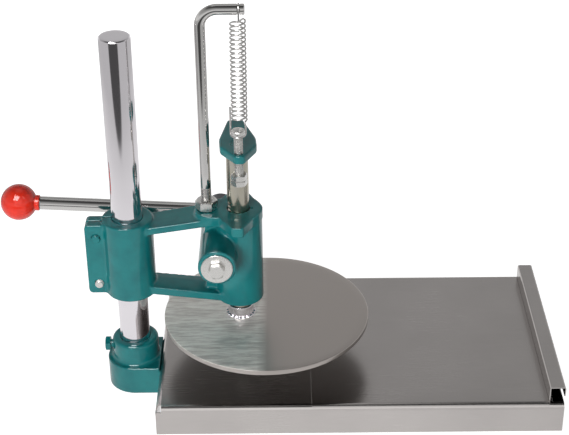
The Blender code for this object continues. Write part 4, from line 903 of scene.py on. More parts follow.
def tray_steel():
    """Satin stainless sheet: a fine grain along X, faint smears, and painted shade inside the rail.
    """
    made = Finish("satin_sheet")
    s = settings("tray")
    end, roof, wall = s.left + s.length + s.rail_overhang, s.top + s.rail_height, s.sheet * 0.85
    # Mask of the rail channel's inner faces, which carry a painted shade below
    across = made.between(made.axis("X"), end - s.rail_width + wall, end - wall)
    upright = made.between(made.axis("Z"), s.top - wall, roof - wall)
    inside = across * upright * made.past(made.axis("Y"), s.front + s.sheet * 2)
    grain = made.noise(90, 4, stretch=(0.35, 28, 28), roughness=0.7)
    smear = made.noise(9, 3)
    shade = made.tinted(
        made.ramp(grain * 0.5 + smear * 0.5, (0.3, 0.0), (0.7, 1.0)),
        settings("colours").tray, 0.86, 1.08)
    # Painted shade: the inside of the rail is coloured near black
    shade = made.mix(inside, shade, (0.03, 0.028, 0.026))
    rough = 0.16 + 0.10 * grain + 0.08 * smear + 0.3 * inside
    return made.metal(shade, rough, grain, 0.000006)


def plate_steel():
    """Stainless with streaks that are coarse on the near side of the ram and lighter there as a
    painted sheen, and painted shade on the rim and the underside.
    """
    made = Finish("brushed_plate")
    tint = settings("colours").plate
    s = settings("plate")
    hair = made.noise(240, 4, stretch=(0.13, 1, 1), roughness=0.7)
    fine = made.noise(160, 3, stretch=(0.25, 22, 22), roughness=0.7)
    coarse_and_sheen = made.ramp((made.axis("X") - 0.1) * 10.0, (0.46, 1.0), (0.58, 0.0))
    streak = made.ramp(hair, (0.40, 0.0), (0.60, 1.0))
    # The coarse streaks are also lighter in colour, a painted sheen on the near half
    shade = made.tinted(coarse_and_sheen * (0.35 + 0.65 * streak), tint, 0.97, 1.95)
    z = made.axis("Z")
    # Painted shade: the rim is darkened, and the underside far more
    rim = 1.0 - made.past(z, s.bottom + s.thickness - s.edge * 0.6)
    under = 1.0 - made.past(z, s.bottom + s.edge * 0.2)
    shade = made.mix(rim, shade, tuple_of(tint, 0.8))
    shade = made.mix(under, shade, tuple_of(tint, 0.4))
    rough = 0.30 + 0.06 * coarse_and_sheen + 0.06 * fine
    return made.surface(
        Base_Color=shade, Metallic=1.0 - coarse_and_sheen * (0.42 + 0.5 * streak), Roughness=rough,
        Normal=made.bump(streak * coarse_and_sheen + fine * 0.03, 0.00022))


def hub_steel():
    """Dark machined steel with turning marks."""
    made = Finish("dark_steel")
    marks = made.noise(300, 3)
    shade = made.tinted(marks, settings("colours").hub, 0.8, 1.2)
    return made.metal(shade, 0.18 + 0.12 * marks, marks, 0.00001)


def red_plastic():
    """A moulded, polished ball with a little unevenness in its gloss."""
    made = Finish("red_plastic")
    wave = made.noise(70, 2)
    dust = made.noise(900, 2)
    return made.surface(
        Base_Color=made.tinted(wave, settings("colours").knob, 0.93, 1.04),
        Roughness=0.08 + 0.06 * dust, IOR=1.47, Normal=made.bump(wave, 0.00006))


FINISHES = {
    "enamel": enamel, "column": column_chrome, "rod": rod_chrome, "zinc": zinc,
    "ram": ram_steel, "tray": tray_steel, "plate": plate_steel, "hub": hub_steel,
    "red": red_plastic,
}
MADE = {}


def finish(name):
    """A finish's material, made the first time that it is asked for."""
    if name not in MADE:
        MADE[name] = FINISHES[name]()
    return MADE[name]


def dress(item, material, body, slot, *nodes):
    """Give a piece its finish, let it ride on a body and stand for CAD nodes."""
    item.data.materials.clear()
    item.data.materials.append(finish(material))
    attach(item, body)
    if nodes:
        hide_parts(*nodes)
    return item


def coat(node, material):
    """Give a CAD node a finish in place of its plain colour."""
    item = FRAME["nodes"][node]
    for slot in item.material_slots:
        slot.material = finish(material)


# Fields of the castings

def base_field():
    """The foot, the arm with its two hollows and the column's socket."""
    s = settings("base")
    c = settings("casting")
    tray = settings("tray")
    radius = settings("column").radius + settings("fastener").gap
    ram_x = settings("ram").x
    inner = s.foot_radius - s.wall
    hollows = ((s.hollow_start, ram_x - s.rib_half), (ram_x + s.rib_half, s.length - s.wall))
    hollow_corner, hollow_round = 0.004, 0.003

    def field(x, y, z):
        radial = np.hypot(x, y)
        arm = panel(x, y, (-0.1, -s.foot_radius), (s.length, s.foot_radius), s.corner)
        plan = np.where(x < 0, radial - s.foot_radius, arm)
        foot = slab(plan, z, 0, s.top, c.edge)
        socket = slab(radial - s.socket_radius, z, 0, s.socket_top, s.socket_round)
        solid = carve(weld(foot, socket, s.shoulder), z, c.edge)
        well = np.maximum(bore(radial, z, radius, -1, s.socket_top, s.mouth), s.seat - z)
        solid = carve(solid, well, c.fine_edge)
        hole = np.maximum(np.hypot(y, z - s.screw_height) - BOLT_HOLE, x)
        solid = carve(solid, hole, c.fine_edge)
        groove = np.maximum(
            np.abs(x - tray.left - tray.bend / 2) - tray.bend / 2 - CLEARANCE,
            tray.top - tray.bend - CLEARANCE - z)
        solid = carve(solid, groove, c.fine_edge)
        for start, end in hollows:
            room = panel(x, y, (start, -inner), (end, inner), hollow_corner)
            solid = carve(solid, slab(room, z, -0.02, s.top - s.roof, hollow_round), c.edge)
        return solid

    return field


def arm(x, y, z, top, rise, thickness, start, end):
    """A flat arm from X = 0 to the arms' end, tapered in plan and sloping."""
    s = settings("head")
    slope = rise / settings("ram").x
    wall = np.abs(y) - start - (end - start) * x / s.arm_end
    plan = np.maximum(wall, np.maximum(-x, x - s.arm_end))
    height = (z - top - slope * x) / math.hypot(1, slope)
    return slab(plan, height, -thickness, 0, settings("casting").edge)


def pad_outline():
    """The plan of the head's pad about the ram: a diamond with a rounded tail."""
    s = settings("head")
    front = [
        (s.pad_end, -s.pad_neck_half, s.pad_end_round), (s.pad_neck, -s.pad_neck_half, 0.0),
        (-s.pad_tip_half, -s.pad_tip, s.pad_tip_round),
        (s.pad_tip_half, -s.pad_tip, s.pad_tip_round), (s.pad_side, -s.pad_side_half, 0.0025),
    ]
    back = [(x, -y, radius) for x, y, radius in reversed(front)]
    return soften(front + back, closed=True)


def head_field():
    """The split sleeve, the two arms, the ram's housing, the pinion's boss and the pad."""
    s = settings("head")
    c = settings("casting")
    r = settings("ram")
    outline = pad_outline()
    web_corner = 0.002
    slit_overlap = 0.004
    column = settings("column").radius + settings("fastener").gap
    bolt = settings("fastener").shank + settings("fastener").gap
    hanger = settings("hanger")

    def field(x, y, z):
        about_column = np.hypot(x, y)
        about_ram = np.hypot(x - r.x, y)
        about_pinion = np.hypot(x - r.pinion_x, z - r.pinion_z)
        solid = slab(about_column - s.sleeve_radius, z, s.sleeve_bottom, s.sleeve_top, c.edge)
        face = panel(x, z, (-s.lug_reach, s.lug_bottom), (0, s.lug_top), s.lug_corner)
        solid = weld(solid, slab(face, y, -s.lug_half, s.lug_half, c.edge), c.small_fillet)
        upper = arm(
            x, y, z, s.upper_arm_top, s.upper_arm_rise, s.upper_arm, s.upper_arm_start,
            s.upper_arm_end)
        lower = arm(
            x, y, z, s.lower_arm_top, s.lower_arm_rise, s.lower_arm, s.lower_arm_start,
            s.lower_arm_end)
        falling = z - s.lower_arm_top - s.lower_arm_rise * x / r.x + (
            y - s.lower_arm_fold) * s.lower_arm_drop
        lower = np.maximum(lower, falling)
        housing = slab(
            about_ram - s.housing_radius, z, s.housing_bottom, s.housing_top, c.edge)
        boss = slab(about_pinion - s.boss_radius, y, -s.boss_half, s.boss_half, c.edge)
        web = slab(
            panel(x, y, (s.web_start, -s.web_half), (r.x, s.web_half), web_corner),
            z, s.lower_arm_top + s.lower_arm_rise / 2 - s.lower_arm,
            s.housing_top - s.pad_thickness / 2, c.edge)
        pad = slab(
            outline_field(outline, x - r.x, y), z, s.housing_top - s.pad_thickness,
            s.housing_top, c.edge)
        far = weld(weld(housing, boss, c.fillet), web, c.small_fillet)
        far = weld(far, pad, c.small_fillet)
        arms = np.minimum(upper, lower)
        solid = weld(weld(solid, arms, c.fillet), far, c.fillet)
        solid = carve(solid, s.housing_top - z, c.edge)
        tool = bore(about_column, z, column, s.sleeve_bottom, s.sleeve_top, s.sleeve_chamfer)
        solid = carve(solid, tool, c.fine_edge)
        tool = bore(
            about_ram, z, r.radius + CLEARANCE, s.housing_bottom, s.housing_top, s.housing_chamfer)
        solid = carve(solid, tool, c.fine_edge)
        solid = carve(solid, about_pinion - r.journal - CLEARANCE, c.fine_edge)
        slit = np.maximum(np.abs(y) - s.slit / 2, x + column - slit_overlap)
        solid = carve(solid, slit, c.fine_edge)
        for height in (s.clamp_upper, s.clamp_lower):
            solid = carve(solid, np.hypot(x - s.clamp_x, z - height) - bolt, c.fine_edge)
        foot = np.maximum(np.hypot(x - hanger.x, y) - hanger.radius - CLEARANCE, hanger.foot - z)
        solid = carve(solid, foot, c.fine_edge)
        oil = np.maximum(
            np.hypot(x - s.oil_hole_x, y - s.oil_hole_y) - s.oil_hole,
            s.housing_top - s.pad_thickness / 2 - z)
        return carve(solid, oil, c.fine_edge)

    return field


def cap_outline():
    """The plan of the cap about its own centre: a rounded nose and a long tail."""
    s = settings("cap")
    right = [
        (s.nose_half, -s.nose, s.nose_round), (s.half, -s.front_shoulder, s.front_round),
        (s.half, s.back_shoulder, s.back_round), (s.tail_half, s.tail, s.tail_round),
    ]
    left = [(-x, y, radius) for x, y, radius in reversed(right)]
    return soften(right + left, closed=True, steps=9)


def cap_field():
    """The cap with its pocket for the ram and its two screw holes."""
    s = settings("cap")
    r = settings("ram")
    outline = cap_outline()
    fine = settings("casting").fine_edge
    cosine, sine = math.cos(s.turned), math.sin(s.turned)
    cap_screw_hole = 0.0043

    def field(x, y, z):
        off = x - r.x - s.shift
        plan = outline_field(outline, off * cosine + y * sine, y * cosine - off * sine)
        solid = slab(plan, z, s.top - s.thickness, s.top, s.edge)
        about_ram = np.hypot(x - r.x, y)
        pocket = np.maximum(
            about_ram - r.radius - CLEARANCE, z - s.top + s.thickness - s.pocket - CLEARANCE)
        solid = carve(solid, pocket, fine)
        cone = (about_ram - s.screw_head - 0.0002 - (z - s.top)) * math.sqrt(0.5)
        solid = carve(solid, np.minimum(cone, about_ram - cap_screw_hole), fine)
        return carve(solid, np.hypot(x - s.stop_x, y - s.stop_y) - BOLT_HOLE, fine)

    return field


def along_lever(distance):
    """The point of the lever's centre line at a distance from the pinion's axis."""
    s = settings("lever")
    r = settings("ram")
    direction = np.array((-math.cos(s.raised), 0.0, math.sin(s.raised)))
    return np.array((r.pinion_x, s.plane_y, r.pinion_z)) + direction * distance


def hub_field():
    """The hub: a drum with the shaft's bore, a flat for the lever and a screw's hole."""
    s = settings("lever")
    r = settings("ram")

    def field(x, y, z):
        dx, dz = x - r.pinion_x, z - r.pinion_z
        radial = np.hypot(dx, dz)
        along = -dx * math.cos(s.raised) + dz * math.sin(s.raised)
        aside = np.hypot(
            dx * math.sin(s.raised) + dz * math.cos(s.raised), y - s.plane_y)
        solid = slab(
            radial - s.hub_radius, y, s.hub_front, s.hub_front + s.hub_length, 0.0012)
        solid = carve(solid, radial - s.neck - CLEARANCE, 0.0008)
        spot = np.maximum(aside - s.radius - 0.0004, s.hub_radius - s.hub_flat - along)
        solid = carve(solid, spot, 0.0005)
        hole = np.maximum(aside - s.grub - CLEARANCE, along)
        return carve(solid, hole, 0.0006)

    return field


# Pieces

class Build(bpy.types.Operator):
    """Base of the operators that build pieces"""
    bl_options = {"REGISTER", "UNDO"}

    def execute(self, context):
        self.build()
        return {"FINISHED"}


def bolt_head(name, origin, direction, corner, flats, height, shank, end, pitch=0.0, depth=0.0):
    """A hexagon bolt: its head from height 0 up, and its shank down to the end's height.

    The shank's radius is cut by its thread where a pitch is given, and tapers at its end.
    """
    angle = circle(96)
    radii, heights = hexed(angle, flats, 0.0, height, 0.35)
    step = pitch / 8 if pitch else abs(end)
    rows = np.arange(end, -0.0002, step)
    taper = np.clip((rows - end) / THREAD_LEAD, 0, 1)[:, None]
    cut = thread_cut(angle[None], rows[:, None], pitch, depth) if pitch else 0.0
    shank_radii = shank - 0.0009 * (1 - taper) - cut * taper + 0 * angle
    radii = np.vstack([shank_radii, [np.full_like(angle, shank)], radii])
    heights = np.vstack([rows[:, None] + 0 * angle, [0 * angle], heights])
    rings = around(origin, direction, angle + corner - math.pi / 6, radii, heights)
    return skin(name, rings, sharp=28.0)


def hex_nut(name, x, y, bottom, height, flats, hole, corner):
    """A hexagon nut with chamfered corners and mouths about a vertical thread."""
    angle = circle(96)
    radii, heights = hexed(angle, flats, bottom, bottom + height, 1.0)
    lead = THREAD_LEAD
    ring = np.ones_like(angle)
    radii = [hole * ring, (hole + lead) * ring, *radii, (hole + lead) * ring, hole * ring]
    heights = [
        (bottom + lead) * ring, bottom * ring, *heights, (bottom + height) * ring,
        (bottom + height - lead) * ring]
    rings = around(
        (x, y, 0), Z_AXIS, angle + corner - math.pi / 6, np.array(radii), np.array(heights))
    return skin(name, rings, closed=True, sharp=28.0)


def countersunk(name, x, y, top, head, radius, length, socket, facing=1.0):
    """A countersunk screw with a hexagon socket, its flat head at a height."""
    angle = circle(48)
    ring = np.ones_like(angle)
    key = hexagon_radius(angle, socket)
    cone = head - radius
    radii = [key * 0.98, key, head * ring * 0.985, head * ring, radius * ring, radius * ring,
             radius * 0.8 * ring]
    heights = [-cone * 0.8, 0.0, 0.0, -0.0002, -cone, -length + 0.0006, -length]
    rings = around(
        (x, y, top), Z_AXIS * facing, angle, np.array(radii), np.array(heights)[:, None] * ring)
    return skin(name, rings, sharp=28.0)


class MakeBase(Build):
    """Build the base casting and the set screw that grips the column"""
    bl_idname = "dough_press.make_base"
    bl_label = "Base casting"

    def build(self):
        s = settings("base")
        f = settings("fastener")
        casting = cast(
            "base_surface", base_field(), (-s.foot_radius, -s.foot_radius, 0),
            (s.length, s.foot_radius, s.socket_top), settings("casting").base_cell)
        dress(casting, "enamel", "base", "base_enamel", "base_casting")
        start = s.socket_radius + s.standoff
        shank = start - settings("column").radius - f.gap
        screw = bolt_head(
            "set_screw_surface", (-start, 0, s.screw_height), -X_AXIS, 0.0, f.flats, f.head,
            f.shank, -shank)
        dress(screw, "enamel", "base", "set_screw_enamel", "column_set_screw")


class MakeTray(Build):
    """Finish the tray and build its four countersunk screws"""
    bl_idname = "dough_press.make_tray"
    bl_label = "Tray"

    def build(self):
        s = settings("tray")
        coat("tray", "tray")
        self.liner()
        for index, (side_x, side_y) in enumerate(((-1, -1), (-1, 1), (1, -1), (1, 1)), 1):
            screw = countersunk(
                f"tray_screw_{index}_surface", s.screw_middle + side_x * s.screw_span_x / 2,
                side_y * s.screw_span_y / 2, s.top - 0.0002, head=0.005, radius=0.0025,
                length=0.013, socket=0.003)
            dress(screw, "zinc", "base", "tray_screw_zinc", f"tray_screw_{index}")

    def liner(self):
        """The thin sheet's rings run round its width, from its back edge to its front lip.

        Across the lip's last millimetres the left end moves in along a quarter circle.
        """
        s = settings("tray")
        half = s.liner / 2
        lift = half + HAIRLINE
        radius = s.bend + lift
        steps = 11
        lowest = math.asin((s.bend - s.liner_lip) / radius)
        angle = np.linspace(math.pi / 2, lowest, 24)
        front = np.stack([
            s.front + s.bend - radius * np.cos(angle),
            s.top - s.bend + radius * np.sin(angle)], -1)
        back = np.stack([
            np.linspace(s.front + s.depth - s.bend, s.front + s.bend, steps + 1)[:-1],
            np.full(steps, s.top + lift)], -1)
        path = np.vstack([back, front])
        out = np.vstack([
            np.tile((0.0, 1.0), (steps, 1)), np.stack([-np.cos(angle), np.sin(angle)], -1)])
        left = radius * (angle - lowest)
        corner = np.maximum(s.liner_corner - left, 0)
        moved = s.liner_corner - np.sqrt(np.maximum(s.liner_corner ** 2 - corner ** 2, 0))
        starts = s.liner_left + np.concatenate([np.zeros(steps), moved])
        end = s.left + s.length + s.rail_overhang - s.rail_width - CLEARANCE
        edge = s.liner * 0.2
        rings = np.stack([
            np.stack([x, path[:, 0] + out[:, 0] * rise, path[:, 1] + out[:, 1] * rise], -1)
            for x, rise in (
                (starts, half - edge), (starts + edge, half), (0 * starts + end - edge, half),
                (0 * starts + end, half - edge), (0 * starts + end, edge - half),
                (0 * starts + end - edge, -half), (starts + edge, -half),
                (starts, edge - half))], 1)
        dress(skin("tray_liner", rings), "tray", "base", "tray_steel")


class MakeColumn(Build):
    """Build the column"""
    bl_idname = "dough_press.make_column"
    bl_label = "Column"

    def build(self):
        s = settings("column")
        column = turned("column_surface", [
            (s.radius - 0.001, s.seat, 0), (s.radius, s.seat + 0.001, 0),
            (s.radius, s.top - s.chamfer, 0.0008), (s.radius - s.chamfer, s.top, 0.0008),
            (s.radius - 0.006, s.top, 0),
        ], columns=192)
        dress(column, "column", "column", "column_chrome", "column")


class MakeHead(Build):
    """Build the head casting and its two clamp bolts"""
    bl_idname = "dough_press.make_head"
    bl_label = "Head casting"

    def build(self):
        s = settings("head")
        r = settings("ram")
        f = settings("fastener")
        casting = cast(
            "head_surface", head_field(), (-s.lug_reach, -s.boss_half, s.housing_bottom),
            (r.x + s.housing_radius, s.boss_half, s.housing_top), settings("casting").head_cell)
        dress(casting, "enamel", "head", "head_enamel", "head_casting")
        start = s.lug_half + f.gap
        past_lug = 0.003
        for name, height, cover in (
                ("upper", s.clamp_upper, "enamel"), ("lower", s.clamp_lower, "zinc")):
            bolt = bolt_head(
                f"clamp_bolt_{name}_surface", (s.clamp_x, start, height), Y_AXIS, 0.0,
                f.flats, f.head, f.shank, -start - s.lug_half - past_lug, f.pitch,
                f.thread_depth)
            dress(bolt, cover, "head", "clamp_bolt_zinc", f"clamp_bolt_{name}")


class MakeHanger(Build):
    """Build the bent hanger rod with its thread and groove, and its nut"""
    bl_idname = "dough_press.make_hanger"
    bl_label = "Hanger rod"

    def build(self):
        s = settings("hanger")
        threaded = np.arange(s.foot, s.thread_top, s.pitch / 9)
        straight = np.linspace(s.thread_top, s.top - s.bend, 12)
        foot = np.concatenate([threaded, straight[:-1]])
        lower = np.stack([np.full_like(foot, s.x), 0 * foot, foot], -1)
        angle = np.linspace(math.pi, math.pi / 2, 25)[:, None]
        centre = np.array((s.x + s.bend, 0, s.top - s.bend))
        bend = centre + s.bend * (np.cos(angle) * X_AXIS + np.sin(angle) * Z_AXIS)
        reach = np.concatenate([
            np.linspace(s.x + s.bend, s.hook_x - s.groove_half, 9)[1:-1],
            np.linspace(s.hook_x - s.groove_half, s.hook_x + s.groove_half, 15),
            np.linspace(s.hook_x + s.groove_half, s.end - 0.001, 4)[1:], [s.end]])
        upper = np.stack([reach, 0 * reach, np.full_like(reach, s.top)], -1)
        path = np.vstack([lower, bend, upper])
        angle = circle(64)[None]
        height = path[:, 2:]
        in_thread = np.clip((s.thread_top - height) / 0.002, 0, 1)
        cut = thread_cut(angle, height, s.pitch, s.thread_depth) * in_thread
        across = (path[:, :1] - s.hook_x) / s.groove_half
        groove = s.groove_depth * np.sqrt(np.clip(1 - across ** 2, 0, 1))
        level = height > s.top - 1e-6
        start = 0.0012 * np.clip(1 - (height - s.foot) / 0.0012, 0, 1)
        end = 0.0008 * (path[:, :1] > s.end - 1e-6)
        radii = s.radius - cut - np.where(level, groove, 0) - start - end
        rod = swept("hanger_rod_surface", path, radii, 64)
        dress(rod, "rod", "head", "hanger_chrome", "hanger_rod")
        nut = hex_nut(
            "hanger_nut_surface", s.x, 0, s.nut_bottom, s.nut_height, s.nut_flats,
            s.radius + HAIRLINE, 0.0)
        dress(nut, "zinc", "head", "hanger_nut_zinc", "hanger_nut")


def spring_path():
    """The spring's wire: hook over the rod, open coils, and the loop under the screw head."""
    s = settings("spring")
    h = settings("hanger")
    cap = settings("cap")
    floor = h.radius - h.groove_depth + s.wire + settings("fastener").gap
    eye = np.array((h.hook_x, 0, h.top))
    crown = np.array((h.hook_x - s.top_shift, 0, s.top))
    foot = np.array((s.foot_x, s.foot_y, s.bottom))

    def coil(turns):
        turns = np.asarray(turns, float)[..., None]
        centre = crown + (foot - crown) * turns / s.coils
        angle = -math.tau * turns
        return centre + s.radius * (np.cos(angle) * X_AXIS + np.sin(angle) * Y_AXIS)

    sweep = np.linspace(0, math.pi, 33)[:, None]
    hook = eye + floor * (np.cos(sweep) * Y_AXIS + np.sin(sweep) * Z_AXIS)
    tail = eye + floor * Y_AXIS - s.hook_tail * Z_AXIS
    high = np.array((h.hook_x, -floor, s.top + s.hook_rise))
    bends = [
        crown + s.radius * (right * X_AXIS + back * Y_AXIS) + s.hook_rise * up * Z_AXIS
        for right, back, up in ((0.67, 0.6, 0.33), (1.0, 0.4, 0.11))]
    into = eased([high, high - s.hook_drop * Z_AXIS, *bends, coil(0)])
    turns = np.arange(1, s.coils * 40) / 40
    under = cap.stop_head - s.wire - settings("fastener").gap
    middle = np.array((cap.stop_x, cap.stop_y + s.loop_back, under))
    right, left = middle + s.loop_half * X_AXIS, middle - s.loop_half * X_AXIS
    sweep = np.linspace(0, math.pi, 41)[1:-1, None]
    loop = middle + (
        s.loop_half * np.cos(sweep) * X_AXIS
        - (s.loop_back + s.loop_front) * np.sin(sweep) * Y_AXIS)
    last = coil([s.coils, s.coils + 0.13])
    down = eased([last[0], last[1], right + s.loop_elbow * Z_AXIS, right, loop[0]])
    free = left * (1, 1, 0) + s.loop_tail * Z_AXIS
    up = eased([loop[-1], left, free])
    return np.vstack([[tail], hook, into, coil(turns), down, loop[1:-1], up])


class MakeSpring(Build):
    """Build the return spring"""
    bl_idname = "dough_press.make_spring"
    bl_label = "Return spring"

    def build(self):
        s = settings("spring")
        path = spring_path()
        apart = np.linalg.norm(np.diff(path, axis=0), axis=-1)
        path = path[np.concatenate([[True], apart > 1e-6])]
        spring = swept("return_spring_surface", path, s.wire, 12, 60.0)
        spring.data.materials.append(finish("rod"))
        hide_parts("return_spring")
        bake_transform(spring)


class MakeRam(Build):
    """Build the ram with its rack"""
    bl_idname = "dough_press.make_ram"
    bl_label = "Ram"

    def build(self):
        """Each ring is a circle whose left side is cut flat at the rack's depth."""
        s = settings("ram")
        pitch = math.pi * s.gear_module
        tip, root = s.rack_distance + s.gear_module, s.rack_distance - 1.25 * s.gear_module
        lean = math.tan(math.radians(20))
        half = pitch / 4 - 0.000125
        half_tip, half_root = half - s.gear_module * lean, half + 1.25 * s.gear_module * lean
        first = math.ceil((s.rack_bottom - s.pinion_z) / pitch)
        last = math.floor((s.rack_top - s.pinion_z) / pitch)
        middle = s.pinion_z + np.arange(first, last + 1) * pitch
        tooth = np.array((-half_root, -half_tip, half_tip, half_root))
        teeth_z = (middle[:, None] + tooth).ravel()
        teeth_x = np.tile((root, tip, tip, root), len(middle))
        low, high = middle[0] - pitch + half_root, middle[-1] + pitch - half_root
        top, plain = s.top, s.radius * 0.999
        collar = settings("plate").collar_bottom + settings("plate").collar_height
        heights = np.concatenate([
            [collar + CLEARANCE, low, low], teeth_z, [high, high, top - 0.001, top]])
        depths = np.concatenate([[plain, plain, root], teeth_x, [root, plain, plain, plain]])
        radii = np.full_like(heights, s.radius)
        radii[-1] -= 0.001
        edge = np.arccos(depths / radii.clip(depths + 1e-6))
        cut_side = np.linspace(-1, 1, 13)
        round_side = np.linspace(0, 1, 61)[1:-1]
        flat = edge[:, None] * cut_side
        back = edge[:, None] + (math.tau - 2 * edge[:, None]) * round_side
        reach = np.hstack([depths[:, None] / np.cos(flat), radii[:, None] + 0 * back])
        angle = np.hstack([flat, back]) + math.pi
        body = around((s.x, 0, 0), Z_AXIS, angle, reach, heights[:, None] + 0 * angle)
        spigot = np.array((s.spigot - 0.0006, s.spigot, s.spigot, s.radius - 0.0006))[:, None]
        spigot_z = np.array((s.bottom, s.bottom + 0.0006, collar, collar))[:, None]
        lower = around((s.x, 0, 0), Z_AXIS, angle[:1], spigot, spigot_z)
        ram = skin("ram_surface", np.vstack([lower, body]), sharp=28.0)
        dress(ram, "ram", "ram", "ram_steel", "ram")


class MakeCap(Build):
    """Build the drop-shaped cap and its painted screw"""
    bl_idname = "dough_press.make_cap"
    bl_label = "Cap"

    def build(self):
        s = settings("cap")
        low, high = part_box("ram_cap")
        cap = cast("ram_cap_surface", cap_field(), low, high, settings("casting").cap_cell)
        dress(cap, "enamel", "ram", "cap_enamel", "ram_cap")
        x = settings("ram").x
        screw = turned("cap_screw_surface", [
            (0.003, s.top - 0.0007, 0), (0.005, s.top - 0.0005, 0.001),
            (s.screw_head, s.top - 0.0003, 0.0004), (0.004, s.top - 0.004, 0),
            (0.004, s.top - 0.0195, 0), (0.0035, s.top - 0.02, 0),
        ], (x, 0, 0), columns=48)
        dress(screw, "enamel", "ram", "cap_screw_enamel", "cap_screw")


class MakeStop(Build):
    """Build the threaded stop screw and its two nuts"""
    bl_idname = "dough_press.make_stop"
    bl_label = "Stop screw"

    def build(self):
        s = settings("cap")
        f = settings("fastener")
        angle = circle(48)
        rows = np.arange(s.stop_end, s.stop_head - 0.0006, f.pitch / 8)[:, None]
        taper = np.clip((rows - s.stop_end) / 0.001, 0, 1)
        radii = f.shank - 0.0008 * (1 - taper) - taper * thread_cut(
            angle, rows, f.pitch, f.thread_depth)
        head = soften([
            (f.shank, s.stop_head, 0), (s.stop_head_radius, s.stop_head, 0.0005),
            (s.stop_head_radius, s.stop_head + s.stop_head_height, 0.0024),
            (0.002, s.stop_head + s.stop_head_height, 0)])
        rings = around(
            (s.stop_x, s.stop_y, 0), Z_AXIS, angle, np.vstack([radii, head[:, :1] + 0 * angle]),
            np.vstack([rows + 0 * angle, head[:, 1:] + 0 * angle]))
        dress(skin("stop_screw_surface", rings), "zinc", "ram", "stop_screw_zinc", "stop_screw")
        for name, bottom in (("lower", s.nut_lower), ("upper", s.nut_upper)):
            nut = hex_nut(
                f"stop_nut_{name}_surface", s.stop_x, s.stop_y, bottom, f.nut, f.flats,
                f.shank + HAIRLINE, math.radians(10))
            dress(nut, "zinc", "ram", "stop_nut_zinc", f"stop_nut_{name}")


class MakePlate(Build):
    """Build the eccentric plate, its collar with a weld bead, and its screw"""
    bl_idname = "dough_press.make_plate"
    bl_label = "Pressing plate"

    def build(self):
        """The plate's rings change from the hole's centre to the rim's along the radius."""
        s = settings("plate")
        x = settings("ram").x
        top, hole = s.bottom + s.thickness, s.screw_radius + CLEARANCE
        sink = s.screw_head - s.screw_radius
        rim = soften([
            (s.radius - 0.01, top, 0), (s.radius, top, s.edge), (s.radius, s.bottom, s.edge),
            (s.radius - 0.01, s.bottom, 0)])
        radius = np.concatenate([[hole], rim[:, 0], [s.screw_head + CLEARANCE, hole]])
        height = np.concatenate([[top], rim[:, 1], [s.bottom, s.bottom + sink]])
        centre = np.concatenate([[x], np.full(len(rim), s.centre_x), [x, x]])
        angle = circle(240)
        rings = np.stack([
            centre[:, None] + radius[:, None] * np.cos(angle), radius[:, None] * np.sin(angle),
            height[:, None] + 0 * angle], -1)
        plate = skin("press_disc_surface", rings, closed=True)
        dress(plate, "plate", "ram", "disc_steel", "press_disc")
        inner = settings("ram").spigot + CLEARANCE
        collar_top = s.collar_bottom + s.collar_height
        collar = turned("disc_collar_surface", [
            (inner, s.collar_bottom, 0), (s.collar_radius, s.collar_bottom, 0.0005),
            (s.collar_radius, collar_top, 0.0012), (inner, collar_top, 0.0004),
        ], (x, 0, 0), closed=True)
        dress(collar, "column", "ram", "collar_chrome", "disc_collar")
        angle, around_bead = circle(180), circle(14)[:, None]
        ripple = 1 + 0.28 * np.cos(19 * angle) + 0.12 * np.sin(7 * angle + 0.6)
        radii = s.collar_radius + 0.0005 + s.bead * ripple * np.cos(around_bead)
        heights = top + 0.0002 + s.bead * ripple * np.sin(around_bead) * 0.8
        bead = skin("collar_bead", around((x, 0, 0), Z_AXIS, angle, radii, heights), closed=True)
        dress(bead, "column", "ram", "collar_chrome")
        screw = countersunk(
            "disc_screw_surface", x, 0, s.bottom + HAIRLINE, s.screw_head, s.screw_radius,
            length=0.022, socket=0.005, facing=-1.0)
        dress(screw, "zinc", "ram", "disc_screw_zinc", "disc_screw")


class MakePinion(Build):
    """Finish the pinion shaft and build its washer and bolt"""
    bl_idname = "dough_press.make_pinion"
    bl_label = "Pinion"

    def build(self):
        s = settings("ram")
        f = settings("fastener")
        coat("pinion_shaft", "ram")
        back = -settings("head").boss_half - f.gap
        hole = f.shank + f.gap
        origin = (s.pinion_x, back, s.pinion_z)
        washer = turned("pinion_washer_surface", [
            (hole, 0, 0.0003), (s.washer_radius, 0, 0.0005), (s.washer_radius, s.washer, 0.0008),
            (hole, s.washer, 0.0004)], origin, -Y_AXIS, closed=True)
        dress(washer, "zinc", "lever", "washer_zinc", "pinion_washer")
        bolt = bolt_head(
            "pinion_bolt_surface", (s.pinion_x, back - s.washer - f.gap, s.pinion_z), -Y_AXIS,
            math.radians(10), f.flats, f.head, f.shank, end=-0.022)
        dress(bolt, "zinc", "lever", "pinion_bolt_zinc", "pinion_bolt")


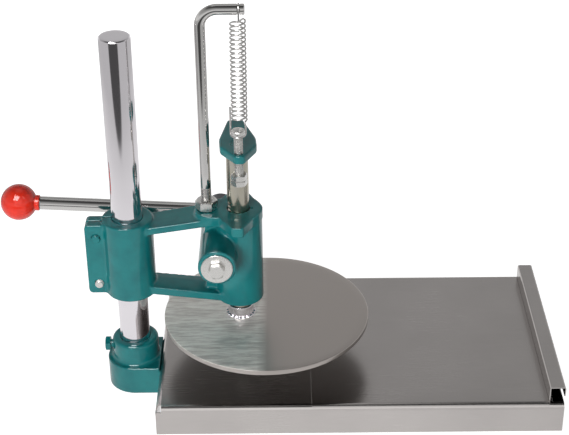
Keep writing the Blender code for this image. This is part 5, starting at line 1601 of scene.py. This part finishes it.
class MakeLever(Build):
    """Build the hub with its set screw, the lever and the ball"""
    bl_idname = "dough_press.make_lever"
    bl_label = "Lever"

    def build(self):
        s = settings("lever")
        low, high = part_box("lever_hub")
        hub = cast("lever_hub_surface", hub_field(), low, high, settings("casting").hub_cell)
        dress(hub, "hub", "lever", "hub_steel", "lever_hub")
        origin = along_lever(0)
        direction = along_lever(1) - origin
        seat = s.hub_radius - s.hub_flat
        angle = circle(48)
        ring = np.ones_like(angle)
        key = hexagon_radius(angle, flats=0.004)
        radii = np.array([ring * s.grub * 0.8, ring * s.grub, ring * s.grub, ring * s.grub * 0.9,
                          key, key * 0.98])
        heights = np.array([s.neck + CLEARANCE, s.neck + 0.001, seat - 0.0004, seat, seat,
                            seat - 0.003])[:, None] * ring
        grub = skin(
            "hub_set_screw_surface", around(origin, -direction, angle, radii, heights),
            sharp=28.0)
        dress(grub, "zinc", "lever", "hub_screw_zinc", "hub_set_screw")
        face = s.reach - s.knob - s.collar_length
        rod = turned("lever_rod_surface", [
            (s.spigot, s.neck + CLEARANCE, 0), (s.spigot, seat + CLEARANCE, 0),
            (s.radius, seat + CLEARANCE, 0.0006), (s.radius, face, 0.0008),
            (s.spigot, face, 0), (s.spigot, s.reach - s.knob / 2, 0),
        ], origin, direction, columns=96)
        dress(rod, "rod", "lever", "lever_chrome", "lever_rod")
        neck = math.asin(s.collar / s.knob)
        sweep = np.linspace(neck, math.pi - 0.02, 48)
        ball = np.stack([s.knob * np.sin(sweep), s.reach - s.knob * np.cos(sweep)], -1)
        collar = soften([
            (s.spigot, face + CLEARANCE, 0), (s.collar, face + CLEARANCE, 0.0008),
            (s.collar, ball[0, 1], 0)])
        profile = np.vstack([collar[:-1], ball])
        rings = around(origin, direction, circle(96), profile[:, :1], profile[:, 1:])
        dress(skin("lever_knob_surface", rings), "red", "lever", "knob_plastic", "lever_knob")


LAMPS = (  # Name, width, place, and whether metal mirrors it
    ("key", 0.7, (-0.55, -2.1, 0.62), False),
    ("fill", 0.9, (1.9, -1.0, 0.6), False),
    ("back", 1.0, (0.2, 2.3, 0.9), False),
    ("top", 1.2, (0.0, 0.7, 2.1), True),
    ("edge", 1.1, (-0.35, -1.15, 1.85), True),
    ("sheen", 2.2, (0.1, -1.9, 1.7), True),
)
LAMPS_AIM = (0.15, 0.0, 0.2)
DARK_ON_TOP = ("lever_rod", "hanger_rod")
FLAT_SHEETS = ("press_disc", "tray_liner")
FLOOR_HALF = 9.0
FLOOR_Z = -0.0002
PAPER_GLOW = 0.90
DARK_PATCH = (-0.16, -1.53, 0.0)
LIT_PATCH = (0.0, 0.1, 0.0)
STUDIO = (
    (0.0, 0.92), (0.22, 0.80), (0.38, 0.52), (0.50, 0.43), (0.65, 0.39), (0.8, 0.12),
    (1.0, 0.05))


class MakeStage(Build):
    """Place the camera, the floor and the studio's light"""
    bl_idname = "dough_press.make_stage"
    bl_label = "Stage"

    def build(self):
        s = settings("stage")
        scene = bpy.context.scene
        self.camera(scene, s)
        self.lamps(scene, s)
        corners = np.array([(-1, -1, 0), (1, -1, 0), (1, 1, 0), (-1, 1, 0)]) * FLOOR_HALF
        corners[:, 2] = FLOOR_Z
        floor = make_object("floor", corners, [np.array([[0, 1, 2, 3]])])
        floor.data.materials.append(self.paper())
        scene.world = self.surroundings(s.ambient)
        scene.view_settings.view_transform = "Standard"

    def camera(self, scene, s):
        """The camera looks ahead, turned by its yaw, down by its pitch, and leaning by its roll."""
        cos_pitch, sin_pitch = math.cos(s.pitch), math.sin(s.pitch)
        cos_yaw, sin_yaw = math.cos(s.yaw), math.sin(s.yaw)
        ahead = np.array((sin_yaw * cos_pitch, cos_yaw * cos_pitch, -sin_pitch))
        level = np.array((cos_yaw, -sin_yaw, 0.0))
        upright = np.cross(level, ahead)
        right = math.cos(s.roll) * level + math.sin(s.roll) * upright
        up = math.cos(s.roll) * upright - math.sin(s.roll) * level
        lens = bpy.data.cameras.new("camera")
        lens.lens, lens.sensor_width, lens.clip_end = s.lens, 36.0, 50.0
        camera = bpy.data.objects.new("camera", lens)
        place = Matrix.Translation((s.camera_x, s.camera_y, s.camera_z))
        camera.matrix_world = place @ Matrix((right, up, -ahead)).transposed().to_4x4()
        scene.collection.objects.link(camera)
        scene.camera = camera

    def lamps(self, scene, s):
        """Soft square lamps; the edge and sheen lamps add gloss alone, on chosen pieces."""
        frame_nodes = {item.name for item in FRAME["nodes"].values()}
        glinting = bpy.data.collections.new("glinting")
        sheened = bpy.data.collections.new("sheened")
        for item in list(scene.objects):
            if item.type != "MESH" or item.name.startswith(DARK_ON_TOP):
                continue
            sheened.objects.link(item)
            if item.name not in frame_nodes and not item.name.startswith(FLAT_SHEETS):
                glinting.objects.link(item)
        gloss = {"edge": glinting, "sheen": sheened}
        for name, width, place, mirrored in LAMPS:
            lamp = bpy.data.lights.new(f"{name}_light", "AREA")
            lamp.energy, lamp.size = getattr(s, name), width
            light = bpy.data.objects.new(f"{name}_light", lamp)
            light.visible_glossy = mirrored
            if name in gloss:
                light.visible_diffuse = False
                light.light_linking.receiver_collection = gloss[name]
            aim = unit(np.array(LAMPS_AIM) - place)
            side = unit(np.cross(aim, Z_AXIS))
            light.matrix_world = Matrix.Translation(place) @ Matrix(
                (side, np.cross(side, aim), -aim)).transposed().to_4x4()
            scene.collection.objects.link(light)

    def paper(self):
        """White paper that keeps a soft shadow and looks white to the eye and in metal.

        Metal sees a dark patch beside the camera, and the paper fade with distance. The paper
        doesn't glow under the tray, where its light would come out through the slot.
        """
        made = Finish("white_paper")
        shade = made.mix(made.noise(60, 3), (0.80, 0.80, 0.80), (0.83, 0.83, 0.83))
        paper = made.node("ShaderNodeBsdfDiffuse", {}, {"Color": shade})
        t = settings("tray")
        under = made.between(
            made.axis("X"), t.left + t.relief * 2, t.left + t.length - t.sheet)
        under = under * made.between(
            made.axis("Y"), t.front + t.relief, t.front + t.depth - t.sheet)
        clear = made.ramp((made.distance(DARK_PATCH) - 0.7) * 4.0, (0.3, 0.0), (0.6, 1.0))
        near = made.ramp(made.distance(LIT_PATCH) - 0.4, (0.0, 1.0), (0.6, 0.6))
        glow, mirrored = (
            made.node("ShaderNodeEmission", {}, {
                "Color": (1, 1, 1), "Strength": strength * (1.0 - under)})
            for strength in (PAPER_GLOW, (0.13 + 0.79 * clear) * near))
        seen = made.node("ShaderNodeAddShader", {}, {0: paper, 1: glow})
        return made.by_ray(paper, mirrored, seen)

    def surroundings(self, ambient):
        """Even light all round, seen in metal as a studio: white low down and grey above."""
        made = Nodes(bpy.data.worlds.new("studio"), "ShaderNodeOutputWorld", "Generated")
        shades = (ambient,) * 3, made.ramp(made.axis("Z"), *STUDIO), (1, 1, 1)
        return made.by_ray(*(
            made.node("ShaderNodeBackground", {}, {"Color": shade}) for shade in shades))


OPERATORS = (
    MakeBase, MakeTray, MakeColumn, MakeHead, MakeHanger, MakeSpring, MakeRam, MakeCap,
    MakeStop, MakePlate, MakePinion, MakeLever, MakeStage)


class DoughPressPanel(bpy.types.Panel):
    """The builders and settings of the dough press"""
    bl_idname = "VIEW3D_PT_dough_press"
    bl_label = "Dough press"
    bl_space_type = "VIEW_3D"
    bl_region_type = "UI"
    bl_category = "Dough press"

    def draw(self, context):
        for operator in OPERATORS:
            self.layout.operator(operator.bl_idname)
        for group in GROUPS:
            box = self.layout.box()
            box.label(text=group.title())
            values = settings(group)
            for key in values.__annotations__:
                box.prop(values, key)


def register():
    for group, kind in GROUPS.items():
        bpy.utils.register_class(kind)
        setattr(bpy.types.Scene, f"dough_press_{group}", bpy.props.PointerProperty(type=kind))
    for kind in (*OPERATORS, DoughPressPanel):
        bpy.utils.register_class(kind)


def unregister():
    for kind in (DoughPressPanel, *reversed(OPERATORS)):
        bpy.utils.unregister_class(kind)
    for group, kind in reversed(GROUPS.items()):
        delattr(bpy.types.Scene, f"dough_press_{group}")
        bpy.utils.unregister_class(kind)


def main():
    """Build every piece."""
    register()
    for operator in OPERATORS:
        name = operator.bl_idname.split(".")[1]
        getattr(bpy.ops.dough_press, name)()


if __name__ == "__main__":
    main()
